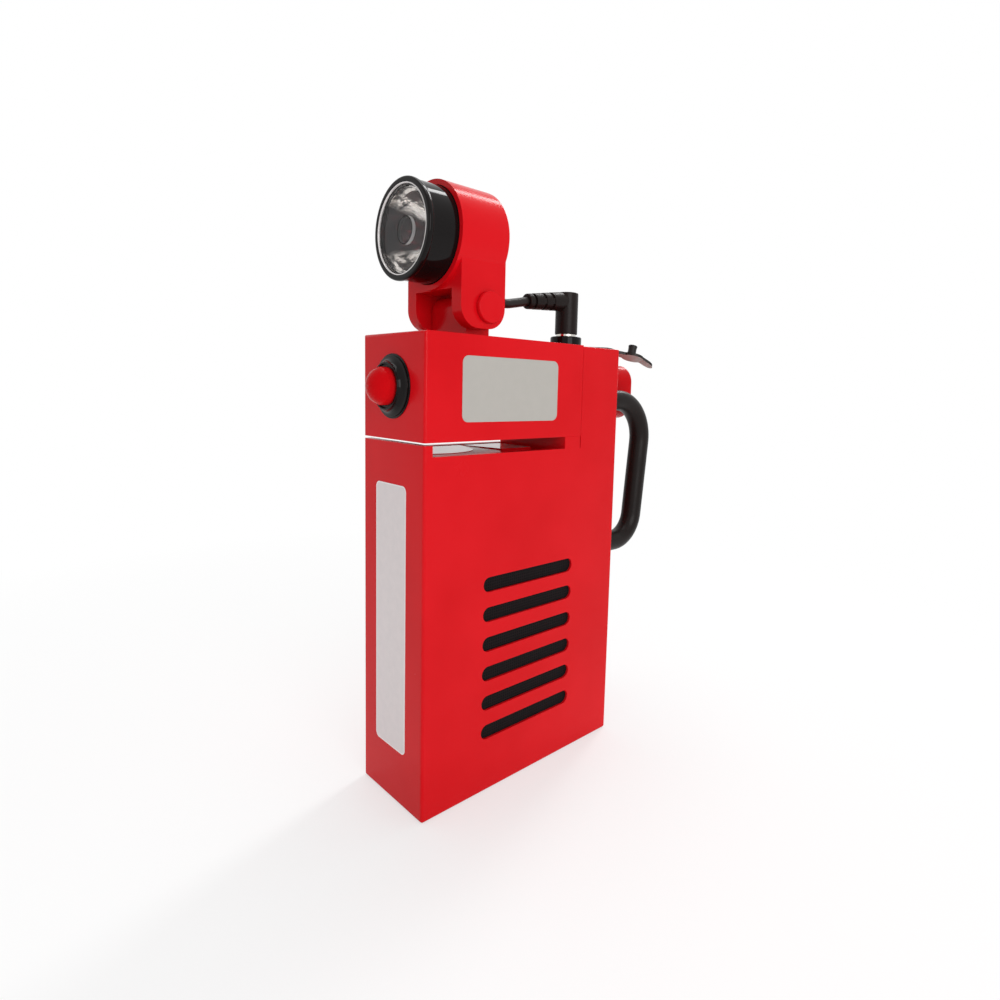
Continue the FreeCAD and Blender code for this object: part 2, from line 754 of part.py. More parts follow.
def tank_holes(body):
    sketch = new_sketch(body, "jack_circle", "XY", (0, 0, column_top))
    circle(sketch, (jack_x, 0), size.jack_thread_r + size.thread_fit)
    pocket(body, "jack_hole", sketch, size.wall)
    sketch = new_sketch(body, "handle_circles", "YZ", (0, 0, right))
    for place in handle_ends():
        circle(sketch, place, size.screw_r + size.thread_fit)
    pocket(body, "handle_holes", sketch, size.wall)


def tank_shell():
    body = new_body("tank_shell")
    tank_walls(body)
    tank_ledge(body)
    tank_slots(body)
    tank_bosses(body)
    tank_spout(body)
    tank_holes(body)
    return body


# The air cathode behind the slots: gasket, sheet, clamp frame and lead
def cathode_corners(side_w, side_h):
    low = (-(side_w / 2), slots_middle_z - side_h / 2)
    high = (side_w / 2, slots_middle_z + side_h / 2)
    return low, high


def cathode_gasket():
    body = new_body("cathode_gasket")
    sketch = new_sketch(body, "gasket_ring", "XZ", (0, 0, inner_face))
    rectangle(sketch, *cathode_corners(cathode_w, cathode_h))
    rectangle(sketch, *cathode_corners(window_w, window_h))
    pad(body, "gasket", sketch, size.gasket_t, backwards=True)
    return body


tab_left = lip_right + size.tab_fit


def air_cathode():
    body = new_body("air_cathode")
    low, high = cathode_corners(cathode_w, cathode_h)
    sketch = new_sketch(body, "cathode_outline", "XZ", (0, 0, cathode_face))
    rectangle(sketch, low, high)
    pad(body, "sheet", sketch, size.cathode_t, backwards=True)
    sketch = new_sketch(body, "tab_outline", "XZ", (0, 0, cathode_face))
    rectangle(
        sketch,
        (tab_left, high[1] - size.gasket_w),
        (tab_left + size.tab_w, high[1] + size.tab_h),
    )
    pad(body, "tab", sketch, size.cathode_t, backwards=True)
    return body


def cathode_clamp():
    body = new_body("cathode_clamp")
    sketch = new_sketch(body, "clamp_outline", "XZ", (0, 0, clamp_face))
    rectangle(sketch, *cathode_corners(clamp_w, clamp_h))
    low, high = cathode_corners(window_w, window_h)
    pane = (window_w - size.clamp_bar * 2) / 3
    for index in range(3):
        start = low[0] + (pane + size.clamp_bar) * index
        rectangle(sketch, (start, low[1]), (start + pane, high[1]))
    for place in clamp_screw_places():
        circle(sketch, place, size.screw_r + size.thread_fit)
    pad(body, "clamp_plate", sketch, size.clamp_t, backwards=True)
    return body


def frame_screws():
    screws = []
    for index, (x, z) in enumerate(clamp_screw_places()):
        seat = (x, -clamp_back, z)
        screws.append(screw("frame_screw_%d" % index, seat, "-Y", size.frame_screw_len))
    return group("frame_screws", screws)


blade_face_y = -(size.jack_r / 2) - size.blade_t / 2


def cathode_lead():
    body = new_body("cathode_lead")
    start = slots_middle_z + clamp_h / 2 + size.tab_h / 6
    sketch = new_sketch(body, "lead_side", "YZ", (0, 0, tab_left + size.tab_w / 2))
    outline(
        sketch,
        [
            (-clamp_face, start),
            (size.lead_t - clamp_face, start),
            (size.lead_t - clamp_face, lead_z - size.lead_t),
            (blade_face_y, lead_z - size.lead_t),
            (blade_face_y, lead_z),
            (-clamp_face, lead_z),
        ],
    )
    pad(body, "lead_strip", sketch, size.lead_w, symmetric=True)
    return body


# The jack in the column's roof, its ring nut and the dust cap on its strap
def jack_socket():
    body = new_body("jack_socket")
    roof_low = column_top - size.wall
    bore_r = size.plug_r + size.run_fit
    bore_low = column_top - size.plug_depth - size.wall / 4
    sketch = new_sketch(body, "jack_section", "XZ", (jack_x, 0, 0))
    outline(
        sketch,
        [
            (0, roof_low - size.jack_body_h),
            (size.jack_r, roof_low - size.jack_body_h),
            (size.jack_r, roof_low),
            (size.jack_thread_r, roof_low),
            (size.jack_thread_r, jack_top),
            (bore_r, jack_top),
            (bore_r, bore_low),
            (0, bore_low),
        ],
    )
    revolve(body, "jack_body", sketch, "V_Axis")
    sketch = new_sketch(body, "blade_outline", "XY", (0, 0, roof_low - size.jack_body_h))
    rectangle(
        sketch,
        (jack_x - size.jack_r / 2 - size.blade_w, blade_face_y),
        (jack_x - size.jack_r / 2, blade_face_y + size.blade_t),
    )
    pad(body, "blade", sketch, size.blade_h, backwards=True)
    return body


def jack_nut():
    body = new_body("jack_nut")
    sketch = new_sketch(body, "nut_section", "XZ", (jack_x, 0, 0))
    chamfer = size.nut_t / 5
    outline(
        sketch,
        [
            (size.jack_thread_r + size.thread_fit, nut_low_z),
            (size.nut_r, nut_low_z),
            (size.nut_r, jack_top - chamfer),
            (size.nut_r - chamfer, jack_top),
            (size.jack_thread_r + size.thread_fit, jack_top),
        ],
        {2: (chamfer, -1)},
    )
    revolve(body, "nut", sketch, "V_Axis")
    return body


def turn_to_strap(body):
    """Put a body that is drawn along +X onto the jack, along the strap's direction."""
    body.Placement = FreeCAD.Placement(
        Vector(jack_x.value, 0, 0), FreeCAD.Rotation(Vector(0, 0, 1), size.strap_turn.value)
    )
    body.setExpression("Placement.Base.x", jack_x.formula)
    body.setExpression("Placement.Rotation.Angle", size.strap_turn.formula)


def dust_ring():
    body = new_body("dust_ring")
    sketch = new_sketch(body, "ring_circle", "XY", (0, 0, column_top))
    circle(sketch, (0, 0), size.ring_r)
    pad(body, "ring", sketch, size.strap_t)
    sketch = new_sketch(body, "strap_root", "XY", (0, 0, column_top))
    half = size.strap_w / 2
    rectangle(sketch, (0, -half), (size.strap_hinge - size.strap_slit / 2, half))
    pad(body, "strap", sketch, size.strap_t)
    sketch = new_sketch(body, "ring_hole", "XY", (0, 0, nut_low_z))
    circle(sketch, (0, 0), size.jack_thread_r + size.thread_fit)
    pocket(body, "hole", sketch, size.strap_t)
    turn_to_strap(body)
    return body


def dust_cap():
    """The strap's outer length with the cap and its pull tab: its side view crossed with its plan."""
    half = size.strap_w / 2
    pull_half = size.pull_w / 2
    start = size.strap_hinge + size.strap_slit / 2
    cap_start = size.disc_s - size.disc_r
    cap_end = size.disc_s + size.disc_r

    side = new_body("dust_cap_side")
    sketch = new_sketch(side, "dust_cap_profile", "XZ")
    upper = [
        (start, nut_low_z),
        (cap_start, nut_low_z - size.droop * 0.45),
        (size.disc_s, nut_low_z - size.droop),
        (cap_end, nut_low_z - size.droop * 1.45),
        (size.pull_s, nut_low_z - size.pull_droop),
    ]
    lower = [(x, z - size.strap_t) for x, z in reversed(upper)]
    outline(sketch, upper + lower)
    pad(side, "profile", sketch, size.disc_r * 2, symmetric=True)

    plan = new_body("dust_cap_plan")
    sketch = new_sketch(plan, "strap_plan", "XY", (0, 0, column_top - size.pull_droop * 2))
    rectangle(sketch, (start, -half), (size.disc_s, half))
    pad(plan, "strap_block", sketch, size.pull_droop * 4)
    sketch = new_sketch(plan, "cap_plan", "XY", (0, 0, column_top - size.pull_droop * 2))
    circle(sketch, (size.disc_s, 0), size.disc_r)
    pad(plan, "cap_block", sketch, size.pull_droop * 4)
    sketch = new_sketch(plan, "pull_plan", "XY", (0, 0, column_top - size.pull_droop * 2))
    outline(
        sketch,
        [
            (size.disc_s, -pull_half),
            (size.pull_s - pull_half, -pull_half),
            (size.pull_s - pull_half, pull_half),
            (size.disc_s, pull_half),
        ],
        {1: (pull_half * 1.0001, -1)},
    )
    pad(plan, "pull_block", sketch, size.pull_droop * 4)

    strap = doc.addObject("Part::MultiCommon", "dust_cap_strap")
    strap.Shapes = [side, plan]
    nub_low = nut_low_z - size.droop - size.strap_t / 2
    nub = cylinder("stopper", size.nub_r, size.nub_h + size.strap_t / 2, (size.disc_s, 0, nub_low))
    cap = fuse("dust_cap", [strap, nub])
    cap.Label = "dust_cap"
    turn_to_strap(cap)
    return cap


# The handle, bent from one round bar
def handle():
    body = new_body("handle")
    start = right.value
    high = handle_high_z.value
    low = handle_low_z.value
    top_x = (right + size.grip_high).value
    low_x = (right + size.grip_low).value
    high_r = size.bend_high_r.value
    low_r = size.bend_low_r.value

    # The grip leans by the angle at which it touches both bends
    lean = 0.0
    for _ in range(30):
        run = (high - high_r * (1 - math.sin(lean))) - (low + low_r * (1 + math.sin(lean)))
        lean = math.atan2(top_x - low_x, run)
    centre_high = Vector(top_x - high_r * math.cos(lean), high - high_r, 0)
    centre_low = Vector(low_x - low_r * math.cos(lean), low + low_r, 0)

    def rim(centre, radius, angle):
        return centre + Vector(math.cos(angle), math.sin(angle), 0) * radius

    bend_high_start = rim(centre_high, high_r, math.pi / 2)
    bend_high_end = rim(centre_high, high_r, -lean)
    bend_low_start = rim(centre_low, low_r, -lean)
    bend_low_end = rim(centre_low, low_r, -math.pi / 2)
    spine = new_sketch(body, "handle_spine", "XZ", (0, 0, -handle_y))
    spine.addGeometry(Part.LineSegment(Vector(start, high, 0), bend_high_start), False)
    middle = rim(centre_high, high_r, (math.pi / 2 - lean) / 2)
    spine.addGeometry(Part.Arc(bend_high_start, middle, bend_high_end), False)
    spine.addGeometry(Part.LineSegment(bend_high_end, bend_low_start), False)
    middle = rim(centre_low, low_r, -(math.pi / 2 + lean) / 2)
    spine.addGeometry(Part.Arc(bend_low_start, middle, bend_low_end), False)
    spine.addGeometry(Part.LineSegment(bend_low_end, Vector(start, low, 0)), False)

    tangent = [(0, 2, 1, 2), (1, 1, 2, 1), (2, 2, 3, 2), (3, 1, 4, 1)]
    for places in tangent:
        spine.addConstraint(Sketcher.Constraint("Tangent", *places))
    pin_point(spine, 0, 1, (right, handle_high_z))
    spine.addConstraint(Sketcher.Constraint("Horizontal", 0))
    bind(spine, "Radius", (1,), size.bend_high_r)
    bind(spine, "DistanceX", (2, 1), right + size.grip_high)
    bind(spine, "DistanceX", (2, 2), right + size.grip_low)
    bind(spine, "Radius", (3,), size.bend_low_r)
    spine.addConstraint(Sketcher.Constraint("Horizontal", 4))
    pin_point(spine, 4, 2, (right, handle_low_z))

    section = new_sketch(body, "handle_section", "YZ", (0, 0, right))
    circle(section, (handle_y, handle_high_z), size.handle_r)
    doc.recompute()
    pipe = body.newObject("PartDesign::AdditivePipe", "handle_bar")
    pipe.Profile = section
    pipe.Spine = (spine, ["Edge%d" % (index + 1) for index in range(5)])
    doc.recompute()
    sketch = new_sketch(body, "pilot_circles", "YZ", (0, 0, right))
    for place in handle_ends():
        circle(sketch, place, size.screw_r + size.thread_fit)
    depth = size.handle_screw_len - size.wall + size.thread_fit
    pocket(body, "pilot_holes", sketch, depth, backwards=True)
    return body


def handle_screws():
    screws = []
    for index, (y, z) in enumerate(handle_ends()):
        seat = (right - size.wall, y, z)
        screws.append(
            screw(
                "handle_screw_%d" % index,
                seat,
                "+X",
                size.handle_screw_len,
                head_r=size.screw_head_r - size.thread_fit,
            )
        )
    return group("handle_screws", screws)


# The filler: a square cap that pulls off the spout, with a seal in its end
def filler_cap():
    body = new_body("filler_cap")
    low = right + size.cap_gap
    sketch = new_sketch(body, "cap_outline", "YZ", (0, 0, low))
    filler_square(sketch, size.cap_size, size.cap_r)
    pad(body, "cap_block", sketch, size.cap_len)

    def outer_end(point):
        return near(point.x, low + size.cap_len)

    fillet(body, "cap_edge", outer_end, size.cap_edge_r)
    sketch = new_sketch(body, "cap_bore", "YZ", (0, 0, low))
    filler_square(sketch, cap_bore, cap_bore_r)
    pocket(body, "cap_hollow", sketch, size.cap_len - size.cap_end_t, backwards=True)
    return body


def filler_seal():
    body = new_body("filler_seal")
    sketch = new_sketch(body, "seal_outline", "YZ", (0, 0, spout_end))
    filler_square(sketch, cap_bore - size.spout_fit, cap_bore_r - size.spout_fit / 2)
    pad(body, "seal_pad", sketch, size.filler_seal_t)
    return body


def deck_seal():
    body = new_body("deck_seal")
    sketch = new_sketch(body, "deck_seal_ring", "XY", (0, 0, ledge_top))
    fit = size.deck_fit
    rectangle(sketch, (mouth_left + fit, fit - inner_face), (column_left - fit, inner_face - fit))
    rectangle(
        sketch,
        (mouth_left + size.ledge_w, size.ledge_w - inner_face),
        (column_left - size.ledge_w, inner_face - size.ledge_w),
    )
    pad(body, "deck_seal_pad", sketch, size.deck_seal_t)
    return body


# The head: shell with the hinge post, base, switch and circuit board
column_boss_x = (
    left + size.head_wall + size.column_boss_in,
    head_right - size.head_wall - size.column_boss_in,
)
column_boss_y = face - size.head_wall - size.column_boss_in
board_d = (column_boss_y - size.column_boss_r - size.board_fit) * 2


def corner_places():
    return [(x, column_boss_y * side) for x in column_boss_x for side in (-1, 1)]


def head_shell():
    body = new_body("head_shell")
    sketch = new_sketch(body, "head_side", "XZ")
    rectangle(sketch, (left, head_low_z), (head_right, size.body_h))
    pad(body, "head_block", sketch, size.body_d, symmetric=True)
    outer = [(left, face), (left, -face)]

    def outer_edge(point):
        upright = any(near(point.x, x) and near(point.y, y) for x, y in outer)
        return upright or (near(point.z, size.body_h) and not near(point.x, head_right))

    fillet(body, "head_edges", outer_edge, size.edge_r)
    sketch = new_sketch(body, "head_hollow_plan", "XY", (0, 0, head_low_z))
    rectangle(
        sketch,
        (left + size.head_wall, size.head_wall - face),
        (head_right - size.head_wall, face - size.head_wall),
    )
    pocket(body, "head_hollow", sketch, size.head_h - size.head_wall, backwards=True)

    sketch = new_sketch(body, "column_circles", "XY", (0, 0, size.body_h - size.head_wall / 2))
    for place in corner_places():
        circle(sketch, place, size.column_boss_r)
    column_h = size.head_h - size.head_wall / 2 - size.base_t
    pad(body, "screw_columns", sketch, column_h, backwards=True)
    sketch = new_sketch(body, "column_holes", "XY", (0, 0, base_top))
    for place in corner_places():
        circle(sketch, place, size.screw_r + size.thread_fit)
    pocket(body, "column_bores", sketch, size.base_screw_len, backwards=True)

    sketch = new_sketch(body, "post_side", "XZ")
    outline(
        sketch,
        [
            (pin_x - size.post_r, size.body_h - size.head_wall / 2),
            (pin_x + size.post_r, size.body_h - size.head_wall / 2),
            (pin_x + size.post_r, pin_z),
            (pin_x, pin_z + size.post_r),
            (pin_x - size.post_r, pin_z),
        ],
        {2: (size.post_r, -1), 3: (size.post_r, -1)},
    )
    pad(body, "post", sketch, size.post_d, symmetric=True)
    sketch = new_sketch(body, "post_hole", "XZ")
    circle(sketch, (pin_x, pin_z), size.pin_r + size.run_fit)
    pocket(body, "post_bore", sketch, size.post_d, symmetric=True)

    sketch = new_sketch(body, "switch_circle", "YZ", (0, 0, left))
    circle(sketch, (0, switch_z), size.switch_r + size.thread_fit)
    pocket(body, "switch_hole", sketch, size.head_wall, backwards=True)
    return body


board_right = head_right - size.board_inset
board_left = switch_end + size.board_gap
board_low = base_top + size.standoff_h
board_top = board_low + size.board_t
standoff_x = (board_left + size.standoff_in, board_right - size.standoff_right_in)
foot_screw_x = head_right - size.foot_screw_in
lead_right = head_right - size.foot_w + size.anode_lead_w * 5 / 4
lead_left = lead_right - size.anode_lead_w
lead_near_y = size.plate_t / 2
lead_far_y = lead_near_y + size.lead_t


def standoff_places():
    reach = board_d / 2 - size.standoff_side_in
    return [(x, reach * side) for x in standoff_x for side in (-1, 1)]


def foot_screw_places():
    reach = column_boss_y - size.foot_screw_gap
    return [(foot_screw_x, reach * side) for side in (-1, 1)]


def lead_slot(body, name, low, high):
    """The slot through which the anode lead passes, with room round it."""
    room = size.run_fit * 2
    sketch = new_sketch(body, name + "_plan", "XY", (0, 0, low))
    rectangle(
        sketch,
        (lead_left - room, lead_near_y - room),
        (lead_right + room, lead_far_y + room),
    )
    pocket(body, name, sketch, high - low, backwards=True)


def head_base():
    body = new_body("head_base")
    gap = size.head_wall + size.base_fit
    sketch = new_sketch(body, "base_plan", "XY", (0, 0, head_low_z))
    rectangle(sketch, (left + gap, gap - face), (head_right - gap, face - gap))
    pad(body, "base_plate", sketch, size.base_t)
    sketch = new_sketch(body, "standoff_circles", "XY", (0, 0, base_top))
    for place in standoff_places():
        circle(sketch, place, size.standoff_r)
    pad(body, "standoffs", sketch, size.standoff_h)
    sketch = new_sketch(body, "standoff_holes", "XY", (0, 0, board_low))
    for place in standoff_places():
        circle(sketch, place, size.screw_r + size.thread_fit)
    depth = size.board_screw_len - size.board_t + size.thread_fit
    pocket(body, "standoff_bores", sketch, depth)
    sketch = new_sketch(body, "base_holes", "XY", (0, 0, head_low_z))
    for place in corner_places() + foot_screw_places():
        circle(sketch, place, size.screw_r + size.thread_fit)
    pocket(body, "base_bores", sketch, size.base_t, backwards=True)
    sketch = new_sketch(body, "head_recesses", "XY", (0, 0, head_low_z))
    for place in corner_places():
        circle(sketch, place, size.screw_head_r + size.thread_fit)
    pocket(body, "base_recesses", sketch, size.screw_head_t, backwards=True)
    lead_slot(body, "base_lead_slot", head_low_z, base_top)
    return body


def base_screws():
    screws = []
    length = size.base_screw_len + size.base_t - size.screw_head_t - size.thread_fit
    for index, (x, y) in enumerate(corner_places()):
        seat = (x, y, head_low_z + size.screw_head_t)
        screws.append(screw("base_screw_%d" % index, seat, "+Z", length))
    return group("base_screws", screws)


def circuit_board():
    body = new_body("circuit_board")
    half = board_d / 2
    sketch = new_sketch(body, "board_plan", "XY", (0, 0, board_low))
    rectangle(sketch, (board_left, -half), (board_right, half))
    for place in standoff_places():
        circle(sketch, place, size.screw_r + size.thread_fit)
    pad(body, "board", sketch, size.board_t)
    return body


def circuit_parts():
    """The coil, the capacitor, the driver chip and the terminal block on the board."""
    row_y = board_d * 0.22
    coil_place = (board_left + size.coil_in, -row_y, board_top)
    coil = cylinder("coil", size.coil_r, size.coil_h, coil_place)
    can_place = (board_right - size.can_in, row_y, board_top)
    can = cylinder("capacitor", size.can_r, size.can_h, can_place)
    chip_right = board_right - size.chip_in
    half = size.chip_size / 2
    chip = box(
        "driver_chip",
        (chip_right - size.chip_size, -half, board_top),
        (chip_right, half, board_top + size.chip_t),
    )
    block_left = board_left + size.terminal_in
    block_front = row_y / 2
    block = box(
        "terminal_block",
        (block_left, block_front, board_top),
        (
            block_left + size.terminal_w,
            block_front + size.terminal_d,
            board_top + size.terminal_h,
        ),
    )
    return group("circuit_parts", [coil, can, chip, block])


def board_screws():
    screws = []
    for index, (x, y) in enumerate(standoff_places()):
        seat = (x, y, board_top)
        screws.append(screw("board_screw_%d" % index, seat, "-Z", size.board_screw_len))
    return group("board_screws", screws)


def switch_body():
    body = new_body("switch_body")
    block_left = switch_wall + size.switch_flange_t
    sleeve_left = left - size.switch_out
    sketch = new_sketch(body, "switch_section", "XZ", (0, switch_z, 0))
    outline(
        sketch,
        [
            (sleeve_left, 0),
            (block_left, 0),
            (block_left, size.switch_flange_r),
            (switch_wall, size.switch_flange_r),
            (switch_wall, size.switch_r),
            (sleeve_left, size.switch_r),
        ],
    )
    revolve(body, "switch_sleeve", sketch, "H_Axis")
    half = size.switch_box / 2
    sketch = new_sketch(body, "switch_square", "YZ", (0, switch_z, block_left))
    rounded_rectangle(sketch, (-half, -half), (half, half), size.edge_r)
    pad(body, "switch_block", sketch, size.switch_len)
    sketch = new_sketch(body, "button_bore", "YZ", (0, switch_z, sleeve_left))
    circle(sketch, (0, 0), size.button_r + size.run_fit)
    depth = size.switch_out + size.button_in + size.button_travel
    pocket(body, "button_hole", sketch, depth, backwards=True)
    return body


def switch_collar():
    body = new_body("switch_collar")
    sketch = new_sketch(body, "collar_section", "XZ", (left, switch_z, 0))
    inner = size.switch_r + size.thread_fit
    front = size.collar_t
    round_r = size.collar_t * 0.72
    outline(
        sketch,
        [
            (0, inner),
            (0, size.collar_r),
            (round_r - front, size.collar_r),
            (-front, size.collar_r - round_r),
            (-front, inner),
        ],
        {2: (round_r, 1)},
    )
    revolve(body, "collar", sketch, "H_Axis")
    return body


def dome_radius(base_r, rise):
    """Radius of the ball of which a dome with this base and rise is the top."""
    return (base_r * base_r + rise * rise) / (rise * 2)


def switch_button():
    body = new_body("switch_button")
    tip = size.button_out + size.button_dome
    radius = size.button_r
    dome_r = dome_radius(radius, size.button_dome)
    sketch = new_sketch(body, "button_section", "XZ", (left, switch_z, 0))
    outline(
        sketch,
        [(-tip, 0), (size.button_in, 0), (size.button_in, radius), (-size.button_out, radius)],
        {3: (dome_r, -1)},
    )
    revolve(body, "button", sketch, "H_Axis")
    return body


# The carrier under the head: foot, deck and hanger, with the metal plate
hanger_left = left + size.hanger_in
hanger_right = head_right - size.hanger_end
jaw_back_y = lead_far_y + size.run_fit
jaw_front_y = size.plate_t / 2 + size.run_fit
plate_left = mouth_left + size.ledge_w + size.plate_side
plate_right = column_left - size.ledge_w - size.plate_side
plate_top = deck_low - size.deck_fit
anode_screw_z = deck_low - size.anode_screw_drop
anode_screw_xs = (left + size.anode_screw_a, head_right - size.anode_screw_b)


def carrier_screw_holes(body, name):
    """Cross holes for the two screws that hold the plate."""
    sketch = new_sketch(body, name + "_circles", "XZ")
    for x in anode_screw_xs:
        circle(sketch, (x, anode_screw_z), size.screw_r + size.thread_fit)
    pocket(body, name, sketch, size.body_d - size.wall * 4, symmetric=True)


def anode_carrier():
    body = new_body("anode_carrier")
    fit = size.deck_fit
    foot_left = head_right - size.foot_w
    deck_plan = (
        (mouth_left + fit, fit - inner_face),
        (column_left - fit, inner_face - fit),
    )
    sketch = new_sketch(body, "deck_plan", "XY", (0, 0, deck_low))
    rectangle(sketch, *deck_plan)
    pad(body, "deck", sketch, size.deck_t)
    sketch = new_sketch(body, "deck_low_plan", "XY", (0, 0, deck_top))
    rectangle(
        sketch,
        (left + size.deck_land_w, size.ledge_w - inner_face),
        (foot_left, inner_face - size.ledge_w),
    )
    pocket(body, "deck_recess", sketch, size.deck_dip)
    sketch = new_sketch(body, "neck_plan", "XY", (0, 0, deck_low))
    rectangle(sketch, (foot_left, fit - inner_face), (head_right, inner_face - fit))
    pad(body, "neck", sketch, rim_z - deck_low)
    sketch = new_sketch(body, "foot_plan", "XY", (0, 0, rim_z))
    rectangle(sketch, (foot_left, -face), (head_right, face))
    pad(body, "foot", sketch, size.gap_h)
    sketch = new_sketch(body, "jaw_plan", "XY", (0, 0, deck_low))
    rectangle(
        sketch,
        (hanger_left, jaw_back_y),
        (hanger_right, jaw_back_y + size.hanger_t),
    )
    rectangle(
        sketch,
        (hanger_left, -jaw_front_y - size.hanger_t),
        (hanger_right, -jaw_front_y),
    )
    pad(body, "jaws", sketch, size.hanger_h, backwards=True)
    vent_left = left + size.deck_land_w + size.vent_d
    sketch = new_sketch(body, "vent_plan", "XY", (0, 0, deck_top))
    for side in (-1, 1):
        middle = size.vent_y * side
        low = (vent_left, middle - size.vent_d / 2)
        high = (foot_left - size.vent_end, middle + size.vent_d / 2)
        rectangle(sketch, low, high)
    pocket(body, "gas_vents", sketch, size.deck_t)
    carrier_screw_holes(body, "jaw_holes")
    sketch = new_sketch(body, "foot_holes", "XY", (0, 0, head_low_z))
    for place in foot_screw_places():
        circle(sketch, place, size.screw_r + size.thread_fit)
    depth = size.foot_screw_len - size.base_t + size.thread_fit
    pocket(body, "foot_bores", sketch, depth)
    lead_slot(body, "carrier_lead_slot", deck_low, head_low_z)
    return body


def carrier_screws():
    screws = []
    for index, (x, y) in enumerate(foot_screw_places()):
        seat = (x, y, base_top)
        screws.append(screw("carrier_screw_%d" % index, seat, "-Z", size.foot_screw_len))
    return group("carrier_screws", screws)


def anode_plate():
    body = new_body("anode_plate")
    sketch = new_sketch(body, "plate_outline", "XZ")
    rectangle(sketch, (plate_left, size.wall + size.plate_foot), (plate_right, plate_top))
    pad(body, "plate", sketch, size.plate_t, symmetric=True)
    carrier_screw_holes(body, "plate_holes")
    return body


def anode_lead():
    body = new_body("anode_lead")
    leg_low = anode_screw_z - size.anode_lead_w * 2 / 3
    leg_high = anode_screw_z + size.anode_lead_w * 2 / 3
    sketch = new_sketch(body, "lead_outline", "XZ", (0, 0, -lead_near_y))
    outline(
        sketch,
        [
            (anode_screw_xs[1] - size.anode_lead_w, leg_low),
            (lead_right, leg_low),
            (lead_right, board_low),
            (lead_left, board_low),
            (lead_left, leg_high),
            (anode_screw_xs[1] - size.anode_lead_w, leg_high),
        ],
    )
    circle(sketch, (anode_screw_xs[1], anode_screw_z), size.screw_r + size.thread_fit)
    pad(body, "lead_plate", sketch, size.lead_t, backwards=True)
    return body


anode_nut_y = jaw_back_y + size.hanger_t


def anode_screws():
    screws = []
    seat_y = -jaw_front_y - size.hanger_t
    length = anode_nut_y - seat_y + size.screw_head_t * 1.5
    for index, x in enumerate(anode_screw_xs):
        screws.append(screw("anode_screw_%d" % index, (x, seat_y, anode_screw_z), "+Y", length))
    return group("anode_screws", screws)


def anode_nuts():
    """Two hexagon nuts on the plate screws."""
    nuts = []
    for index, x in enumerate(anode_screw_xs):
        prism = doc.addObject("Part::Prism", "nut_prism_%d" % index)
        prism.Polygon = 6
        prism.setExpression("Circumradius", text(size.screw_head_r + size.thread_fit * 4))
        prism.setExpression("Height", text(size.screw_head_t))
        bind_place(prism, (x, anode_nut_y, anode_screw_z), "+Y")
        hole = cylinder(
            "nut_hole_%d" % index,
            size.screw_r + size.thread_fit / 2,
            size.screw_head_t,
            (x, anode_nut_y, anode_screw_z),
            "+Y",
        )
        nut = doc.addObject("Part::Cut", "anode_nut_%d" % index)
        nut.Base = prism
        nut.Tool = hole
        nuts.append(nut)
    return group("anode_nuts", nuts)


# The lamp: housing with its fork, bezel, lens, reflector and LED, on the hinge pin
def lamp_housing():
    body = new_body("lamp_housing")
    ear_left = left + size.ear_front
    ear_low = pin_z - size.ear_r
    sketch = new_sketch(body, "fork_side", "XZ")
    outline(
        sketch,
        [
            (ear_left, lamp_z),
            (ear_left, pin_z),
            (ear_left + size.ear_r, ear_low),
            (pin_x, ear_low),
            (lamp_back, pin_z),
            (lamp_back, lamp_z),
        ],
        {1: (size.ear_r, -1), 3: (size.ear_r, -1)},
    )
    pad(body, "fork_block", sketch, size.fork_d, symmetric=True)
    sketch = new_sketch(body, "barrel_section", "XZ", (0, lamp_z, 0))
    rectangle(sketch, (lamp_front, 0), (lamp_back, size.lamp_r))
    revolve(body, "barrel", sketch, "H_Axis")

    def back_rim(point):
        return near(point.x, lamp_back) and on_circle(point, 0, lamp_z, size.lamp_r)

    fillet(body, "barrel_edge", back_rim, size.edge_r)
    sketch = new_sketch(body, "fork_slot_side", "XZ")
    rectangle(sketch, (ear_left - 1, ear_low - 1), (lamp_back + 1, lamp_low_z))
    pocket(body, "fork_slot", sketch, size.fork_d - size.ear_t * 2, symmetric=True)

    shoulder = lamp_front + size.lamp_shoulder
    sketch = new_sketch(body, "bore_section", "XZ", (0, lamp_z, 0))
    outline(
        sketch,
        [
            (lamp_front, 0),
            (lamp_back - size.lamp_back_t, 0),
            (lamp_back - size.lamp_back_t, size.lamp_core_r),
            (shoulder, size.lamp_core_r),
            (shoulder, size.lamp_bore_r),
            (lamp_front, size.lamp_bore_r),
        ],
    )
    revolve(body, "barrel_bore", sketch, "H_Axis", kind="Groove")
    sketch = new_sketch(body, "pin_circle", "XZ")
    circle(sketch, (pin_x, pin_z), size.pin_r + size.run_fit / 2)
    pocket(body, "pin_bore", sketch, size.fork_d, symmetric=True)
    sketch = new_sketch(body, "gland_circle", "YZ", (0, 0, lamp_back))
    circle(sketch, (0, gland_z), size.gland_stem_r + size.run_fit)
    pocket(body, "gland_hole", sketch, size.gland_in)
    return body


gland_z = lamp_low_z + size.gland_rise
bezel_front = lamp_front - size.bezel_len
lens_front = bezel_front + size.lens_inset
lens_back = lens_front + size.lens_t
reflector_front = lens_back + size.lens_seal_t
led_board_face = lamp_front + size.lamp_shoulder - size.led_board_t
lens_r = size.lens_seat_r - size.lens_fit
liner_r = size.bezel_bore_r - size.lens_fit


def lamp_turned(label, name, points, arcs=None):
    """A piece turned about the lamp's axis, from points along the axis and out from it."""
    body = new_body(label)
    sketch = new_sketch(body, name + "_section", "XZ", (0, lamp_z, 0))
    outline(sketch, points, arcs)
    revolve(body, name, sketch, "H_Axis")
    return body


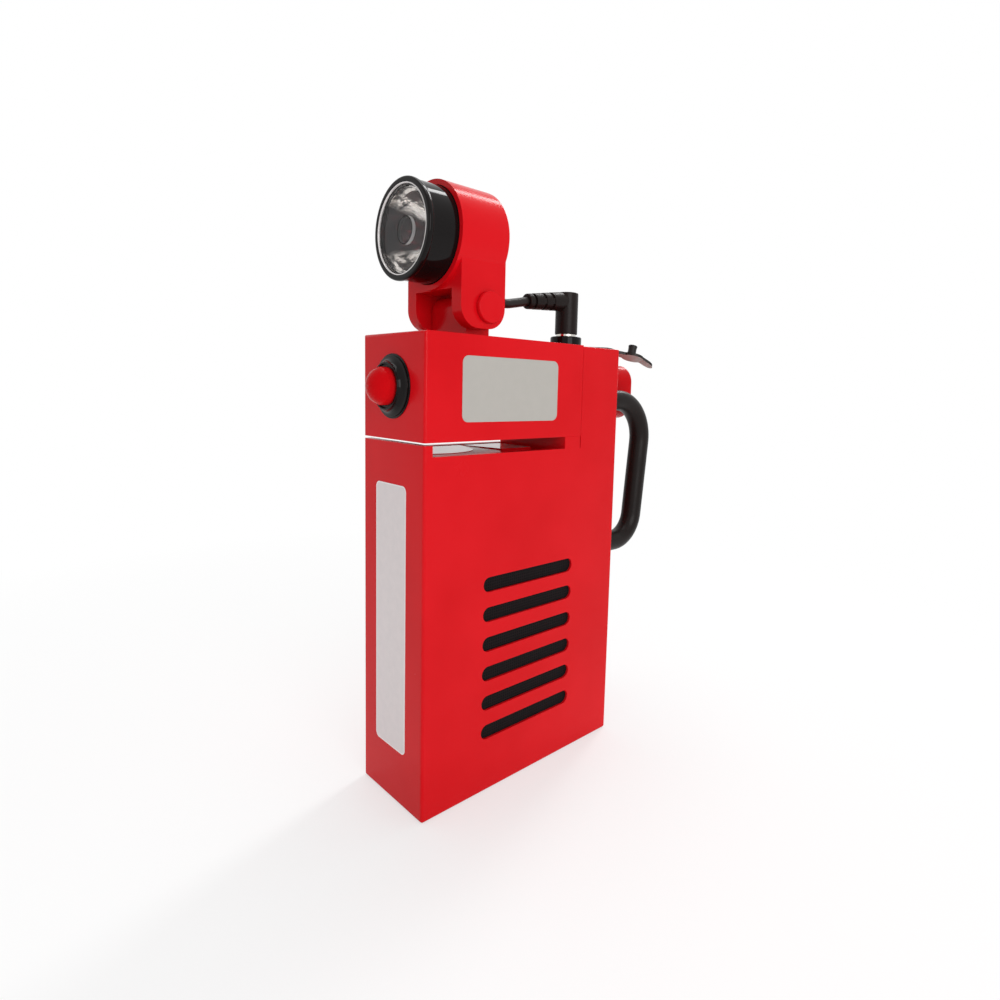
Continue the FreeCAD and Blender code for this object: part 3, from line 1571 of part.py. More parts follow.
def lamp_bezel():
    rim_round = size.rim_t * 0.45
    points = [
        (bezel_front, size.lens_seat_r),
        (lens_back, size.lens_seat_r),
        (lens_back, size.bezel_bore_r),
        (lamp_front + size.bezel_in, size.bezel_bore_r),
        (lamp_front + size.bezel_in, size.bezel_r),
        (lamp_front, size.bezel_r),
        (lamp_front, size.tube_r),
        (bezel_front + size.rim_t, size.tube_r),
        (bezel_front + size.rim_t, size.rim_r),
        (bezel_front + rim_round, size.rim_r),
        (bezel_front, size.rim_r - rim_round),
    ]
    return lamp_turned("lamp_bezel", "bezel", points, {9: (rim_round, -1)})


def lens():
    points = [(lens_front, 0), (lens_back, 0), (lens_back, lens_r), (lens_front, lens_r)]
    return lamp_turned("lens", "lens_disc", points)


def lens_seal():
    inner = liner_r - size.lens_seal_w
    points = [
        (lens_back, inner),
        (reflector_front, inner),
        (reflector_front, liner_r),
        (lens_back, liner_r),
    ]
    return lamp_turned("lens_seal", "seal_ring", points)


def reflector():
    wall = size.reflector_t
    front = reflector_front
    back = led_board_face - size.seam
    flange_r = liner_r
    mouth_r = liner_r - size.lens_seal_w - wall
    eye_r = size.reflector_eye_r
    neck = back - wall * 2
    points = [
        (front, mouth_r),
        (front, flange_r),
        (front + wall, flange_r),
        (front + wall, mouth_r + wall),
        (neck, eye_r + wall),
        (back, eye_r + wall),
        (back, eye_r),
        (neck, eye_r),
    ]
    arcs = {3: (size.reflector_curve_r + wall, 1), 7: (size.reflector_curve_r, -1)}
    return lamp_turned("reflector", "bowl", points, arcs)


def led_board():
    board_r = size.lamp_bore_r - size.lens_fit * 2
    high = led_board_face + size.led_board_t
    points = [(led_board_face, 0), (high, 0), (high, board_r), (led_board_face, board_r)]
    return lamp_turned("led_board", "led_disc", points)


def led():
    base_front = led_board_face - size.led_base_t
    points = [
        (led_board_face, 0),
        (led_board_face, size.led_r),
        (base_front, size.led_r),
        (base_front, size.led_dome_r),
        (base_front - size.led_dome_h, 0),
    ]
    dome_r = dome_radius(size.led_dome_r, size.led_dome_h)
    return lamp_turned("led", "led_chip", points, {3: (dome_r, -1)})


def hinge_pin():
    """The pin, with its head on the front ear and a plain tail for the clip."""
    half = size.fork_d / 2
    tail = size.fork_d + size.clip_t + size.pin_r / 4
    seat = (pin_x, -half, pin_z)
    pin = screw(
        "pin_solid", seat, "+Y", tail, size.pin_r, size.pin_head_r, size.pin_head_t
    )
    pin.Label = "hinge_pin"
    return pin


def pin_clip():
    half = size.fork_d / 2
    place = (pin_x, half, pin_z)
    disc = cylinder("clip_disc", size.clip_r, size.clip_t, place, "+Y")
    hole = cylinder("clip_hole", size.pin_r + size.run_fit / 2, size.clip_t, place, "+Y")
    clip = doc.addObject("Part::Cut", "pin_clip")
    clip.Base = disc
    clip.Tool = hole
    return clip


def cord_gland():
    stem = cylinder(
        "gland_stem", size.gland_stem_r, size.gland_in, (lamp_back, 0, gland_z), "-X"
    )
    flange = cylinder("gland_flange", size.gland_r, size.gland_out, (lamp_back, 0, gland_z), "+X")
    gland = fuse("cord_gland", [stem, flange])
    return gland


# The cord from the lamp to the jack, and its right angled plug
def plug_body():
    body = new_body("plug_body")
    sketch = new_sketch(body, "upright_circle", "XY", (0, 0, plug_low_z))
    circle(sketch, (jack_x, 0), size.plug_body_r)
    pad(body, "upright", sketch, size.plug_h)

    def top_rim(point):
        return near(point.z, plug_high_z)

    fillet(body, "upright_edge", top_rim, size.edge_r / 2)
    taper = (size.relief_large_r - size.relief_small_r) / size.relief_len
    floor_r = size.groove_deep
    sketch = new_sketch(body, "relief_section", "XZ", (relief_x, relief_z, 0), size.relief_tilt)
    end = size.relief_len + size.plug_body_r / 2
    outline(
        sketch,
        [
            (0, 0),
            (end, 0),
            (end, size.relief_large_r),
            (size.relief_len, size.relief_large_r),
            (0, size.relief_small_r),
        ],
    )
    revolve(body, "relief", sketch, "H_Axis")
    sketch = new_sketch(body, "groove_section", "XZ", (relief_x, relief_z, 0), size.relief_tilt)
    for index in range(3):
        start = size.groove_pitch * (index + 1.1)
        finish = start + size.groove_w
        floor = size.relief_small_r + taper * start - floor_r
        outside = size.relief_large_r + floor_r
        rectangle(sketch, (start, floor), (finish, outside))
    revolve(body, "relief_grooves", sketch, "H_Axis", kind="Groove")
    return body


def plug_barrel():
    body = new_body("plug_barrel")
    low = column_top - size.plug_depth
    sketch = new_sketch(body, "barrel_ring", "XY", (0, 0, low))
    circle(sketch, (jack_x, 0), size.plug_r)
    circle(sketch, (jack_x, 0), size.plug_bore_r)
    pad(body, "barrel_tube", sketch, plug_low_z - low)
    sketch = new_sketch(body, "collar_ring", "XY", (0, 0, plug_low_z))
    circle(sketch, (jack_x, 0), size.plug_collar_r)
    circle(sketch, (jack_x, 0), size.plug_bore_r)
    pad(body, "barrel_collar", sketch, size.plug_collar_t, backwards=True)
    return body


# The cord's route, chosen by eye: along X and above the floor. It leaves the gland level, drops, and
# rises slowly to the plug.
CORD_ROUTE = [(-9.0, 144.3), (-4.9, 144.3), (0.2, 142.2), (5.0, 142.75), (9.7, 143.25)]
# Share of a straight run that the bend at its end may take up
ARC_SHARE = 0.45


def lamp_cord():
    """A tube of straight runs joined by tangent arcs."""
    route = [Vector(x, 0, z) for x, z in CORD_ROUTE]
    gland_end = Vector(number(lamp_back + size.gland_out), 0, number(gland_z))
    relief_end = Vector(relief_x.value, 0, relief_z.value)
    gaps = [route[0].distanceToPoint(gland_end), route[-1].distanceToPoint(relief_end)]
    print("cord ends off the gland and the plug by", [round(gap, 2) for gap in gaps])
    radius = size.cord_r.value
    edges = []
    radii = []
    start = route[0]
    for before, corner, after in zip(route, route[1:], route[2:]):
        toward = (before - corner).normalize()
        onward = (after - corner).normalize()
        half_turn = (math.pi - toward.getAngle(onward)) / 2
        cut = ARC_SHARE * min((before - corner).Length, (after - corner).Length)
        bend = cut / math.tan(half_turn)
        bisector = (toward + onward).normalize()
        crown = corner + bisector * (bend / math.cos(half_turn) - bend)
        arc_start = corner + toward * cut
        arc_end = corner + onward * cut
        edges.append(Part.LineSegment(start, arc_start).toShape())
        edges.append(Part.Arc(arc_start, crown, arc_end).toShape())
        radii.append(round(bend, 2))
        start = arc_end
    edges.append(Part.LineSegment(start, route[-1]).toShape())
    spine = Part.Wire(edges)
    direction = (route[1] - route[0]).normalize()
    section = Part.Wire(Part.Circle(route[0], direction, radius).toShape())
    tube = spine.makePipeShell([section], True, False)
    expected = math.pi * radius * radius * spine.Length
    print("cord length", round(spine.Length, 2), "bend radii", radii)
    print("cord volume", round(tube.Volume, 2), "against", round(expected, 2))
    cord = doc.addObject("Part::Feature", "lamp_cord")
    cord.Shape = tube
    return cord


PIECES = [
    tank_shell,
    cathode_gasket,
    air_cathode,
    cathode_clamp,
    frame_screws,
    cathode_lead,
    jack_socket,
    jack_nut,
    dust_ring,
    dust_cap,
    handle,
    handle_screws,
    deck_seal,
    filler_cap,
    filler_seal,
    head_shell,
    head_base,
    base_screws,
    circuit_board,
    circuit_parts,
    board_screws,
    switch_body,
    switch_collar,
    switch_button,
    anode_carrier,
    carrier_screws,
    anode_plate,
    anode_lead,
    anode_screws,
    anode_nuts,
    lamp_housing,
    lamp_bezel,
    lens,
    lens_seal,
    reflector,
    led_board,
    led,
    hinge_pin,
    pin_clip,
    cord_gland,
    plug_body,
    plug_barrel,
    lamp_cord,
]


def check_document():
    """Stop if an object failed without raising."""
    for obj in doc.Objects:
        if "Invalid" in obj.State or "Error" in obj.State:
            raise ValueError("%s is in state %s" % (obj.Label, obj.State))


def check_shape(piece):
    if piece.Shape.isNull() or not piece.Shape.isValid() or not piece.Shape.Solids:
        raise ValueError("%s has no valid solid" % piece.Label)


def main():
    pieces = [make() for make in PIECES]
    doc.recompute()
    check_document()
    for piece in pieces:
        check_shape(piece)
    os.makedirs("parts", exist_ok=True)
    for piece in pieces:
        piece.Shape.exportStep("parts/%s.step" % piece.Label)
    print(len(pieces), "pieces,", sum(len(piece.Shape.Solids) for piece in pieces), "solids")


main()
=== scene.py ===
import json
import math

import bmesh
import bpy
from mathutils import Matrix, Vector

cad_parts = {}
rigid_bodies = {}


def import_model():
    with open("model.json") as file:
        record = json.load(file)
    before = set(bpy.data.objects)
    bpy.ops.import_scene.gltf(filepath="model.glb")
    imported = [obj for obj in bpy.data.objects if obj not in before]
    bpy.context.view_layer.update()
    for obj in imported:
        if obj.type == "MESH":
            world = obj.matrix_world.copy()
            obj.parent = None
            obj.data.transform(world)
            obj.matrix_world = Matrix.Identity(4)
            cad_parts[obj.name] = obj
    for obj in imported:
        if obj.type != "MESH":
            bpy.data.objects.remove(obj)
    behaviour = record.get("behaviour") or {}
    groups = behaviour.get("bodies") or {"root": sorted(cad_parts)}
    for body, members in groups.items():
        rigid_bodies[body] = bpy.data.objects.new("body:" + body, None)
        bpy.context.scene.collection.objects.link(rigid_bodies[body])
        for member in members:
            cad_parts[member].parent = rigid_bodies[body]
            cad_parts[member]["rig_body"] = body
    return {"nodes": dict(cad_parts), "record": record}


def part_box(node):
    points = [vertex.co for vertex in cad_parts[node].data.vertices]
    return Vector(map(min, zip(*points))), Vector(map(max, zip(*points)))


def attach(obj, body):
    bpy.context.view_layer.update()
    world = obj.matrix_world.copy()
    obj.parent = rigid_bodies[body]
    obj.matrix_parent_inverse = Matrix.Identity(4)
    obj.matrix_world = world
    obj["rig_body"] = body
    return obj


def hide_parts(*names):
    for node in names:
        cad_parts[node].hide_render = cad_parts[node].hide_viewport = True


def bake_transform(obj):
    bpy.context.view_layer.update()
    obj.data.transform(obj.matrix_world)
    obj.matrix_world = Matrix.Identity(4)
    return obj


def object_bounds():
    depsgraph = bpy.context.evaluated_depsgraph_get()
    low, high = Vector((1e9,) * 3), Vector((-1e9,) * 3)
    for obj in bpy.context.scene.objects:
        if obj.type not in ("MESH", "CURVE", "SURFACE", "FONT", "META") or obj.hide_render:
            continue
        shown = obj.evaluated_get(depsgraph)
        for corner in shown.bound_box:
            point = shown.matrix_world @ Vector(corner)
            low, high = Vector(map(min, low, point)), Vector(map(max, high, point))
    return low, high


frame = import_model()
cad_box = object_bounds()
cad = frame["nodes"]
MM = 0.001

# The photograph's camera, found from the body's corners. Millimetres and pixels.
PHOTO_SIZE = 1000
PHOTO_FOCAL = 632.631
PHOTO_CENTRE = (526.387, 458.022)
CAMERA_PLACE = Vector((-127.648, -146.302, 116.099))
CAMERA_RIGHT = Vector((0.726631, -0.686542, 0.025825))
CAMERA_DOWN = Vector((-0.055482, -0.096105, -0.993824))
CAMERA_FORWARD = Vector((0.684784, 0.720710, -0.107923))
SENSOR = 36.0


def photo_camera():
    lens = bpy.data.cameras.new("photo_camera")
    lens.sensor_width = SENSOR
    lens.lens = PHOTO_FOCAL / PHOTO_SIZE * SENSOR
    lens.shift_x = (PHOTO_SIZE / 2 - PHOTO_CENTRE[0]) / PHOTO_SIZE
    lens.shift_y = (PHOTO_CENTRE[1] - PHOTO_SIZE / 2) / PHOTO_SIZE
    lens.clip_start = 0.01
    lens.clip_end = 50.0
    camera = bpy.data.objects.new("photo_camera", lens)
    turn = Matrix((CAMERA_RIGHT, -CAMERA_DOWN, -CAMERA_FORWARD)).transposed()
    camera.matrix_world = Matrix.Translation(CAMERA_PLACE * MM) @ turn.to_4x4()
    bpy.context.scene.collection.objects.link(camera)
    bpy.context.scene.camera = camera


def middle(node):
    """The middle of a CAD node's box."""
    low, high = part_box(node)
    return (low + high) / 2


# Node helpers
def add_node(tree, kind, **values):
    """A new node whose named properties or input sockets are set."""
    node = tree.nodes.new(kind)
    for name, value in values.items():
        if hasattr(node, name):
            setattr(node, name, value)
        else:
            node.inputs[name.replace("_", " ").title()].default_value = value
    return node


def wire(tree, source, target):
    tree.links.new(source, target)


def feed(tree, value, socket):
    """Set an input socket to a plain value, or wire another socket into it."""
    if isinstance(value, bpy.types.NodeSocket):
        wire(tree, value, socket)
    else:
        socket.default_value = value


def new_group(name, inputs, outputs):
    """An empty node group with the named number inputs and outputs."""
    group = bpy.data.node_groups.new(name, "ShaderNodeTree")
    for label, default in inputs:
        socket = group.interface.new_socket(label, in_out="INPUT", socket_type="NodeSocketFloat")
        socket.default_value = default
    for label in outputs:
        group.interface.new_socket(label, in_out="OUTPUT", socket_type="NodeSocketFloat")
    entry = group.nodes.new("NodeGroupInput")
    leave = group.nodes.new("NodeGroupOutput")
    return group, entry, leave


def object_place(tree):
    """The coordinate that stays with a piece."""
    return add_node(tree, "ShaderNodeTexCoord").outputs["Object"]


def mapped(tree, place, **inputs):
    """A coordinate that is moved, turned or stretched."""
    node = add_node(tree, "ShaderNodeMapping")
    wire(tree, place, node.inputs["Vector"])
    for name, value in inputs.items():
        feed(tree, value, node.inputs[name.title()])
    return node.outputs["Vector"]


def split(tree, vector):
    """The X, Y and Z sockets of a vector."""
    node = add_node(tree, "ShaderNodeSeparateXYZ")
    wire(tree, vector, node.inputs["Vector"])
    return node.outputs


def noise(tree, place, **inputs):
    """Noise at a coordinate. Its inputs are plain values or sockets."""
    node = add_node(tree, "ShaderNodeTexNoise")
    wire(tree, place, node.inputs["Vector"])
    for name, value in inputs.items():
        feed(tree, value, node.inputs[name.title()])
    return node.outputs["Fac"]


def maths(tree, operation, *values):
    """The result of one operation on plain numbers or sockets."""
    node = add_node(tree, "ShaderNodeMath", operation=operation)
    for value, socket in zip(values, node.inputs):
        feed(tree, value, socket)
    return node.outputs["Value"]


def scaled_range(tree, source, low, high, out_low=0.0, out_high=1.0):
    """Map a value that varies from low to high onto another range, held at its ends."""
    node = add_node(
        tree, "ShaderNodeMapRange", from_min=low, from_max=high, to_min=out_low, to_max=out_high
    )
    wire(tree, source, node.inputs["Value"])
    return node.outputs["Result"]


def blend_colours(tree, mask, first, second):
    """A colour between two, each a colour or a socket."""
    node = add_node(tree, "ShaderNodeMix", data_type="RGBA")
    wire(tree, mask, node.inputs["Factor"])
    for value, socket in ((first, node.inputs[6]), (second, node.inputs[7])):
        feed(tree, (*value, 1.0) if isinstance(value, tuple) else value, socket)
    return node.outputs[2]


# Effects that several materials share
def grain_group():
    """The fine spark texture of a mould, with a slow drift in tone."""
    group, entry, leave = new_group("mould_grain", [("Scale", 2500.0)], ["Height", "Tone"])
    place = object_place(group)
    fine = noise(group, place, scale=entry.outputs["Scale"], detail=3.0)
    wire(group, fine, leave.inputs["Height"])
    slow = noise(group, place, scale=38.0, detail=2.0)
    wire(group, scaled_range(group, slow, 0.35, 0.65), leave.inputs["Tone"])
    return group


def handling_group():
    """Smudges from fingers and short hair scratches."""
    group, entry, leave = new_group("handling", [("Smudge Scale", 60.0)], ["Smudge", "Scratch"])
    place = object_place(group)
    across = entry.outputs["Smudge Scale"]
    smudge = noise(group, place, scale=across, detail=5.0, roughness=0.62, distortion=0.6)
    wire(group, scaled_range(group, smudge, 0.42, 0.72), leave.inputs["Smudge"])
    along_hair = mapped(group, place, scale=(1500.0, 1500.0, 60.0), rotation=(0.5, 0.35, 0.2))
    hair = noise(group, along_hair, scale=1.0, detail=1.0)
    wire(group, scaled_range(group, hair, 0.74, 0.80), leave.inputs["Scratch"])
    return group


def dust_group():
    """Fine dust that lies on what faces up."""
    group, entry, leave = new_group("dust", [("Amount", 0.1)], ["Dust"])
    specks = noise(group, object_place(group), scale=700.0, detail=4.0)
    surface = add_node(group, "ShaderNodeNewGeometry")
    upward = scaled_range(group, split(group, surface.outputs["Normal"])["Z"], 0.2, 0.95)
    patches = scaled_range(group, specks, 0.5, 0.75)
    both = maths(group, "MULTIPLY", upward, patches)
    wire(group, maths(group, "MULTIPLY", both, entry.outputs["Amount"]), leave.inputs["Dust"])
    return group


GRAIN = grain_group()
HANDLING = handling_group()
DUST = dust_group()


def place_group(tree, group, **values):
    """The output sockets of a group that is placed with its own values."""
    node = tree.nodes.new("ShaderNodeGroup")
    node.node_tree = group
    for name, value in values.items():
        node.inputs[name.replace("_", " ").title()].default_value = value
    return node.outputs


SOCKET_NAMES = {
    "colour": "Base Color",
    "metal": "Metallic",
    "rough": "Roughness",
    "ior": "IOR",
    "clear": "Transmission Weight",
    "coat": "Coat Weight",
    "gloss": "Specular IOR Level",
    "shine": "Specular Tint",
}


def new_material(name, **sockets):
    """A material with its Principled shader's plain sockets set."""
    material = bpy.data.materials.new(name)
    material.use_nodes = True
    tree = material.node_tree
    shader = tree.nodes["Principled BSDF"]
    for label, value in sockets.items():
        socket = shader.inputs[SOCKET_NAMES[label]]
        socket.default_value = (*value, 1.0) if isinstance(value, tuple) else value
    return material, tree, shader


def bump_into(tree, shader, height, depth, distance=0.0001):
    bump = add_node(tree, "ShaderNodeBump", strength=depth, distance=distance)
    wire(tree, height, bump.inputs["Height"])
    wire(tree, bump.outputs["Normal"], shader.inputs["Normal"])


# The tone of dust on black, and the share of the plastic's own colour that it takes on
DUST_TONE = 0.55
DUST_TINT = 0.2


def moulded_plastic(name, dark, light, rough, grain=2500.0, depth=0.25, dust=0.1, **sockets):
    """Injection moulded plastic: two near tones, grain, smudges and a little dust."""
    material, tree, shader = new_material(name, **sockets)
    texture = place_group(tree, GRAIN, scale=grain)
    marks = place_group(tree, HANDLING)
    settled = place_group(tree, DUST, amount=dust)
    colour = blend_colours(tree, texture["Tone"], dark, light)
    pale = tuple(DUST_TONE + DUST_TINT * channel for channel in light)
    dusty = blend_colours(tree, settled["Dust"], colour, pale)
    wire(tree, dusty, shader.inputs["Base Color"])
    wire(tree, scaled_range(tree, marks["Smudge"], 0.0, 1.0, *rough), shader.inputs["Roughness"])
    bump_into(tree, shader, maths(tree, "SUBTRACT", texture["Height"], marks["Scratch"]), depth)
    return material


def brushed_metal(name, colour, rough, stretch, depth=0.15):
    """Metal with fine lines along one direction."""
    material, tree, shader = new_material(name, metal=1.0)
    lines = noise(tree, mapped(tree, object_place(tree), scale=stretch), scale=1.0, detail=4.0)
    bright = tuple(min(1.0, channel * 1.12) for channel in colour)
    mask = scaled_range(tree, lines, 0.3, 0.7)
    wire(tree, blend_colours(tree, mask, colour, bright), shader.inputs["Base Color"])
    wire(tree, scaled_range(tree, lines, 0.3, 0.7, *rough), shader.inputs["Roughness"])
    bump_into(tree, shader, lines, depth)
    return material


def cathode_material():
    """Black pressed carbon with the mark of its wire mesh."""
    material, tree, shader = new_material("cathode_carbon", gloss=0.06)
    place = object_place(tree)
    wires = []
    for direction in ("X", "Z"):
        row = add_node(
            tree, "ShaderNodeTexWave", bands_direction=direction, scale=380.0, distortion=0.4
        )
        wire(tree, place, row.inputs["Vector"])
        wires.append(row.outputs["Fac"])
    specks = noise(tree, place, scale=900.0, detail=5.0)
    relief = maths(tree, "MULTIPLY", maths(tree, "MAXIMUM", *wires), specks)
    tone = scaled_range(tree, relief, 0.2, 0.6)
    colour = blend_colours(tree, tone, (0.004, 0.003, 0.0033), (0.014, 0.010, 0.011))
    wire(tree, colour, shader.inputs["Base Color"])
    wire(tree, scaled_range(tree, specks, 0.3, 0.7, 0.5, 0.8), shader.inputs["Roughness"])
    bump_into(tree, shader, relief, 0.5, 0.0002)
    return material


def lens_material():
    """Clear plastic with faint smudges."""
    material, tree, shader = new_material(
        "lens_clear", colour=(0.93, 0.94, 0.95), clear=1.0, ior=1.25, shine=(0.12, 0.12, 0.12)
    )
    marks = place_group(tree, HANDLING, smudge_scale=120.0)
    wire(tree, scaled_range(tree, marks["Smudge"], 0.0, 1.0, 0.01, 0.06), shader.inputs["Roughness"])
    return material


def reflector_material():
    """Aluminised bowl with painted reflections: a painted dark base with a painted red glint,
    and painted highlight streaks that run out from the middle.

    The painted highlight streaks gather in two lobes, above and below the axis.
    """
    highlight_streak_range = (0.35, 0.47)
    highlight_lobe_range = (0.50, 0.68)
    painted_glint_range = (0.56, 0.66)
    highlight_lobe_lift = 0.15
    depth_scale = 90.0
    painted_dark_reflection = (0.030, 0.019, 0.019)
    painted_red_glint = (0.130, 0.028, 0.032)
    painted_highlight = (0.88, 0.84, 0.80)
    material, tree, shader = new_material("reflector_coat", metal=1.0)
    axis = middle("reflector")
    parts = split(tree, mapped(tree, object_place(tree), location=(0.0, 0.0, -axis.z)))
    angle = maths(tree, "ARCTAN2", parts["Z"], parts["Y"])
    spread = add_node(tree, "ShaderNodeCombineXYZ")
    wire(tree, angle, spread.inputs["X"])
    wire(tree, maths(tree, "MULTIPLY", parts["X"], depth_scale), spread.inputs["Y"])
    streaks = noise(tree, spread.outputs["Vector"], scale=4.5, detail=3.0, distortion=0.5)
    highlight_lobes = maths(tree, "ABSOLUTE", maths(tree, "SUBTRACT", maths(tree, "SINE", angle), highlight_lobe_lift))
    highlight_streak_share = scaled_range(tree, streaks, *highlight_streak_range)
    # Painted highlight: the streak and lobe shares mask pale streaks over the painted dark
    # reflection.
    mask = maths(tree, "MULTIPLY", highlight_streak_share, scaled_range(tree, highlight_lobes, *highlight_lobe_range))
    painted_dark_and_glint = blend_colours(tree, scaled_range(tree, streaks, *painted_glint_range), painted_dark_reflection, painted_red_glint)
    wire(tree, blend_colours(tree, mask, painted_dark_and_glint, painted_highlight), shader.inputs["Base Color"])
    wire(tree, scaled_range(tree, streaks, 0.3, 0.7, 0.10, 0.22), shader.inputs["Roughness"])
    bump_into(tree, shader, streaks, 0.6, 0.0006)
    return material


def label_material(name, light, dark, rough, gloss=0.4):
    """Plain film or foil with a faint mottle."""
    material, tree, shader = new_material(name, gloss=gloss)
    mottle = noise(tree, object_place(tree), scale=420.0, detail=6.0)
    mask = scaled_range(tree, mottle, 0.35, 0.65)
    wire(tree, blend_colours(tree, mask, dark, light), shader.inputs["Base Color"])
    wire(tree, scaled_range(tree, mottle, 0.3, 0.7, *rough), shader.inputs["Roughness"])
    bump_into(tree, shader, mottle, 0.08)
    return material


RED = moulded_plastic(
    "red_abs", (0.62, 0.003, 0.007), (0.67, 0.005, 0.010), (0.18, 0.28), depth=0.04, dust=0.005,
    gloss=0.10,
)
RED_CAP = moulded_plastic(
    "red_cap_plastic", (0.52, 0.003, 0.006), (0.58, 0.005, 0.008), (0.20, 0.32), depth=0.1,
    dust=0.005, gloss=0.06, shine=(0.5, 0.05, 0.05),
)
BLACK = moulded_plastic(
    "black_plastic", (0.009, 0.006, 0.0055), (0.014, 0.010, 0.009), (0.30, 0.44), depth=0.3,
    grain=1800.0, dust=0.01, gloss=0.12,
)
BLACK_GLOSS = moulded_plastic(
    "black_gloss", (0.0035, 0.0025, 0.0025), (0.006, 0.0045, 0.0045), (0.05, 0.10), depth=0.04,
    dust=0.0, gloss=0.14,
)
RUBBER = moulded_plastic(
    "black_rubber", (0.010, 0.007, 0.006), (0.016, 0.012, 0.010), (0.34, 0.48), depth=0.3,
    grain=2200.0, dust=0.02, gloss=0.25,
)
# Pale grey for the strap's downward faces: a painted reflection of the bright floor on the black
# rubber.
STRAP_PAINTED_REFLECTION = moulded_plastic(
    "strap_painted_reflection", (0.34, 0.28, 0.26), (0.46, 0.38, 0.36), (0.40, 0.52), depth=0.3,
    grain=2200.0, dust=0.0, gloss=0.5,
)
BOARD = moulded_plastic(
    "board_green", (0.010, 0.085, 0.030), (0.016, 0.115, 0.042), (0.30, 0.42), dust=0.02,
)
CHIP = moulded_plastic("part_black", (0.02, 0.02, 0.02), (0.03, 0.03, 0.03), (0.40, 0.55))
PHOSPHOR = moulded_plastic(
    "led_yellow", (0.72, 0.52, 0.05), (0.80, 0.60, 0.08), (0.14, 0.22), dust=0.0, coat=0.8,
)
STEEL = brushed_metal("steel", (0.56, 0.56, 0.57), (0.22, 0.36), (900.0, 900.0, 90.0))
NICKEL = brushed_metal("nickel", (0.60, 0.57, 0.52), (0.20, 0.34), (90.0, 900.0, 900.0))
PLUG_METAL = brushed_metal("plug_metal", (0.66, 0.63, 0.58), (0.14, 0.26), (800.0, 800.0, 3000.0))
ANODE = brushed_metal("anode_metal", (0.42, 0.43, 0.44), (0.38, 0.55), (80.0, 700.0, 700.0), 0.4)
LED_BOARD = brushed_metal("led_board_metal", (0.62, 0.62, 0.61), (0.40, 0.5), (600.0, 600.0, 600.0))
CATHODE = cathode_material()
LENS = lens_material()
# The pale tone on the lens's bead and rib: a painted highlight where their edges catch the light.
PAINTED_LENS_HIGHLIGHT = label_material("lens_painted_highlight", (0.88, 0.84, 0.83), (0.76, 0.72, 0.71), (0.1, 0.2), 0.8)
REFLECTOR = reflector_material()
PLATE = label_material("blank_plate", (0.436, 0.416, 0.384), (0.426, 0.407, 0.375), (0.40, 0.48))
# The deck films' pale tone: a painted reflection of the bright background seen across the gap under
# the head.
DECK_PAINTED_REFLECTION = label_material("deck_painted_reflection", (0.97, 0.86, 0.82), (0.93, 0.82, 0.78), (0.05, 0.12), 1.0)
LABEL = label_material("blank_label", (0.765, 0.70, 0.70), (0.73, 0.67, 0.672), (0.34, 0.44))
# The label's pale border: a painted highlight along its edge.
LABEL_PAINTED_EDGE_HIGHLIGHT = label_material("label_painted_edge_highlight", (0.90, 0.86, 0.86), (0.86, 0.82, 0.82), (0.34, 0.44))

MATERIALS = {
    "red_shell": RED,
    "black_plastic": BLACK,
    "black_gloss": BLACK_GLOSS,
    "black_rubber": RUBBER,
    "red_cap": RED_CAP,
    "cathode_sheet": CATHODE,
    "clear_lens": LENS,
    "reflector_coat": REFLECTOR,
    "board_green": BOARD,
    "part_black": CHIP,
    "led_yellow": PHOSPHOR,
    "steel": STEEL,
    "nickel": NICKEL,
    "plug_metal": PLUG_METAL,
    "anode_metal": ANODE,
    "led_board_metal": LED_BOARD,
}


def node_slots():
    """The record's material slot of each node."""
    return {row["node"]: row["material_slot"] for row in frame["record"]["subparts"]}


SLOTS = node_slots()


def paint_nodes():
    """Give every CAD node the material of its slot."""
    for name, node in cad.items():
        node.data.materials.clear()
        node.data.materials.append(MATERIALS[SLOTS[name]])


# Mesh helpers
def finish_piece(bm, name, material, body, stands_for=(), sharp=40.0):
    """Write a bmesh into an object that rides on a body."""
    mesh = bpy.data.meshes.new(name)
    bm.to_mesh(mesh)
    bm.free()
    mesh.shade_smooth()
    mesh.set_sharp_from_angle(angle=math.radians(sharp))
    mesh.materials.append(material)
    piece = bpy.data.objects.new(name, mesh)
    bpy.context.scene.collection.objects.link(piece)
    shading = piece.modifiers.new("even_shading", "WEIGHTED_NORMAL")
    shading.keep_sharp = True
    shading.weight = 100
    if body:
        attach(piece, body)
    if stands_for:
        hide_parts(*stands_for)
    return piece


def add_bmesh(bm, other):
    """Join a second bmesh into the first."""
    mesh = bpy.data.meshes.new("joined")
    other.to_mesh(mesh)
    other.free()
    bm.from_mesh(mesh)
    bpy.data.meshes.remove(mesh)


# Corners of loose triangles this near are one corner, and faces this near to flat are one face.
WELD = 0.002 * MM
FLAT = math.radians(0.6)


def merged(node):
    """A bmesh of a CAD node with its loose triangles joined into faces."""
    bm = bmesh.new()
    bm.from_mesh(cad[node].data)
    bmesh.ops.remove_doubles(bm, verts=bm.verts, dist=WELD)
    bmesh.ops.dissolve_limit(
        bm,
        angle_limit=FLAT,
        verts=bm.verts,
        edges=bm.edges,
        use_dissolve_boundaries=False,
    )
    return bm


def soften(bm, width, angle=50.0, segments=2, plain=frozenset()):
    """Bevel the edges that are still sharp, but none between two plain corners."""
    edges = [
        edge
        for edge in bm.edges
        if edge.is_manifold
        and abs(edge.calc_face_angle(0.0)) > math.radians(angle)
        and not plain.issuperset(edge.verts)
    ]
    bmesh.ops.bevel(
        bm,
        geom=edges,
        offset=width * MM,
        offset_type="OFFSET",
        affect="EDGES",
        segments=segments,
        profile=0.5,
        clamp_overlap=True,
        material=-1,
    )


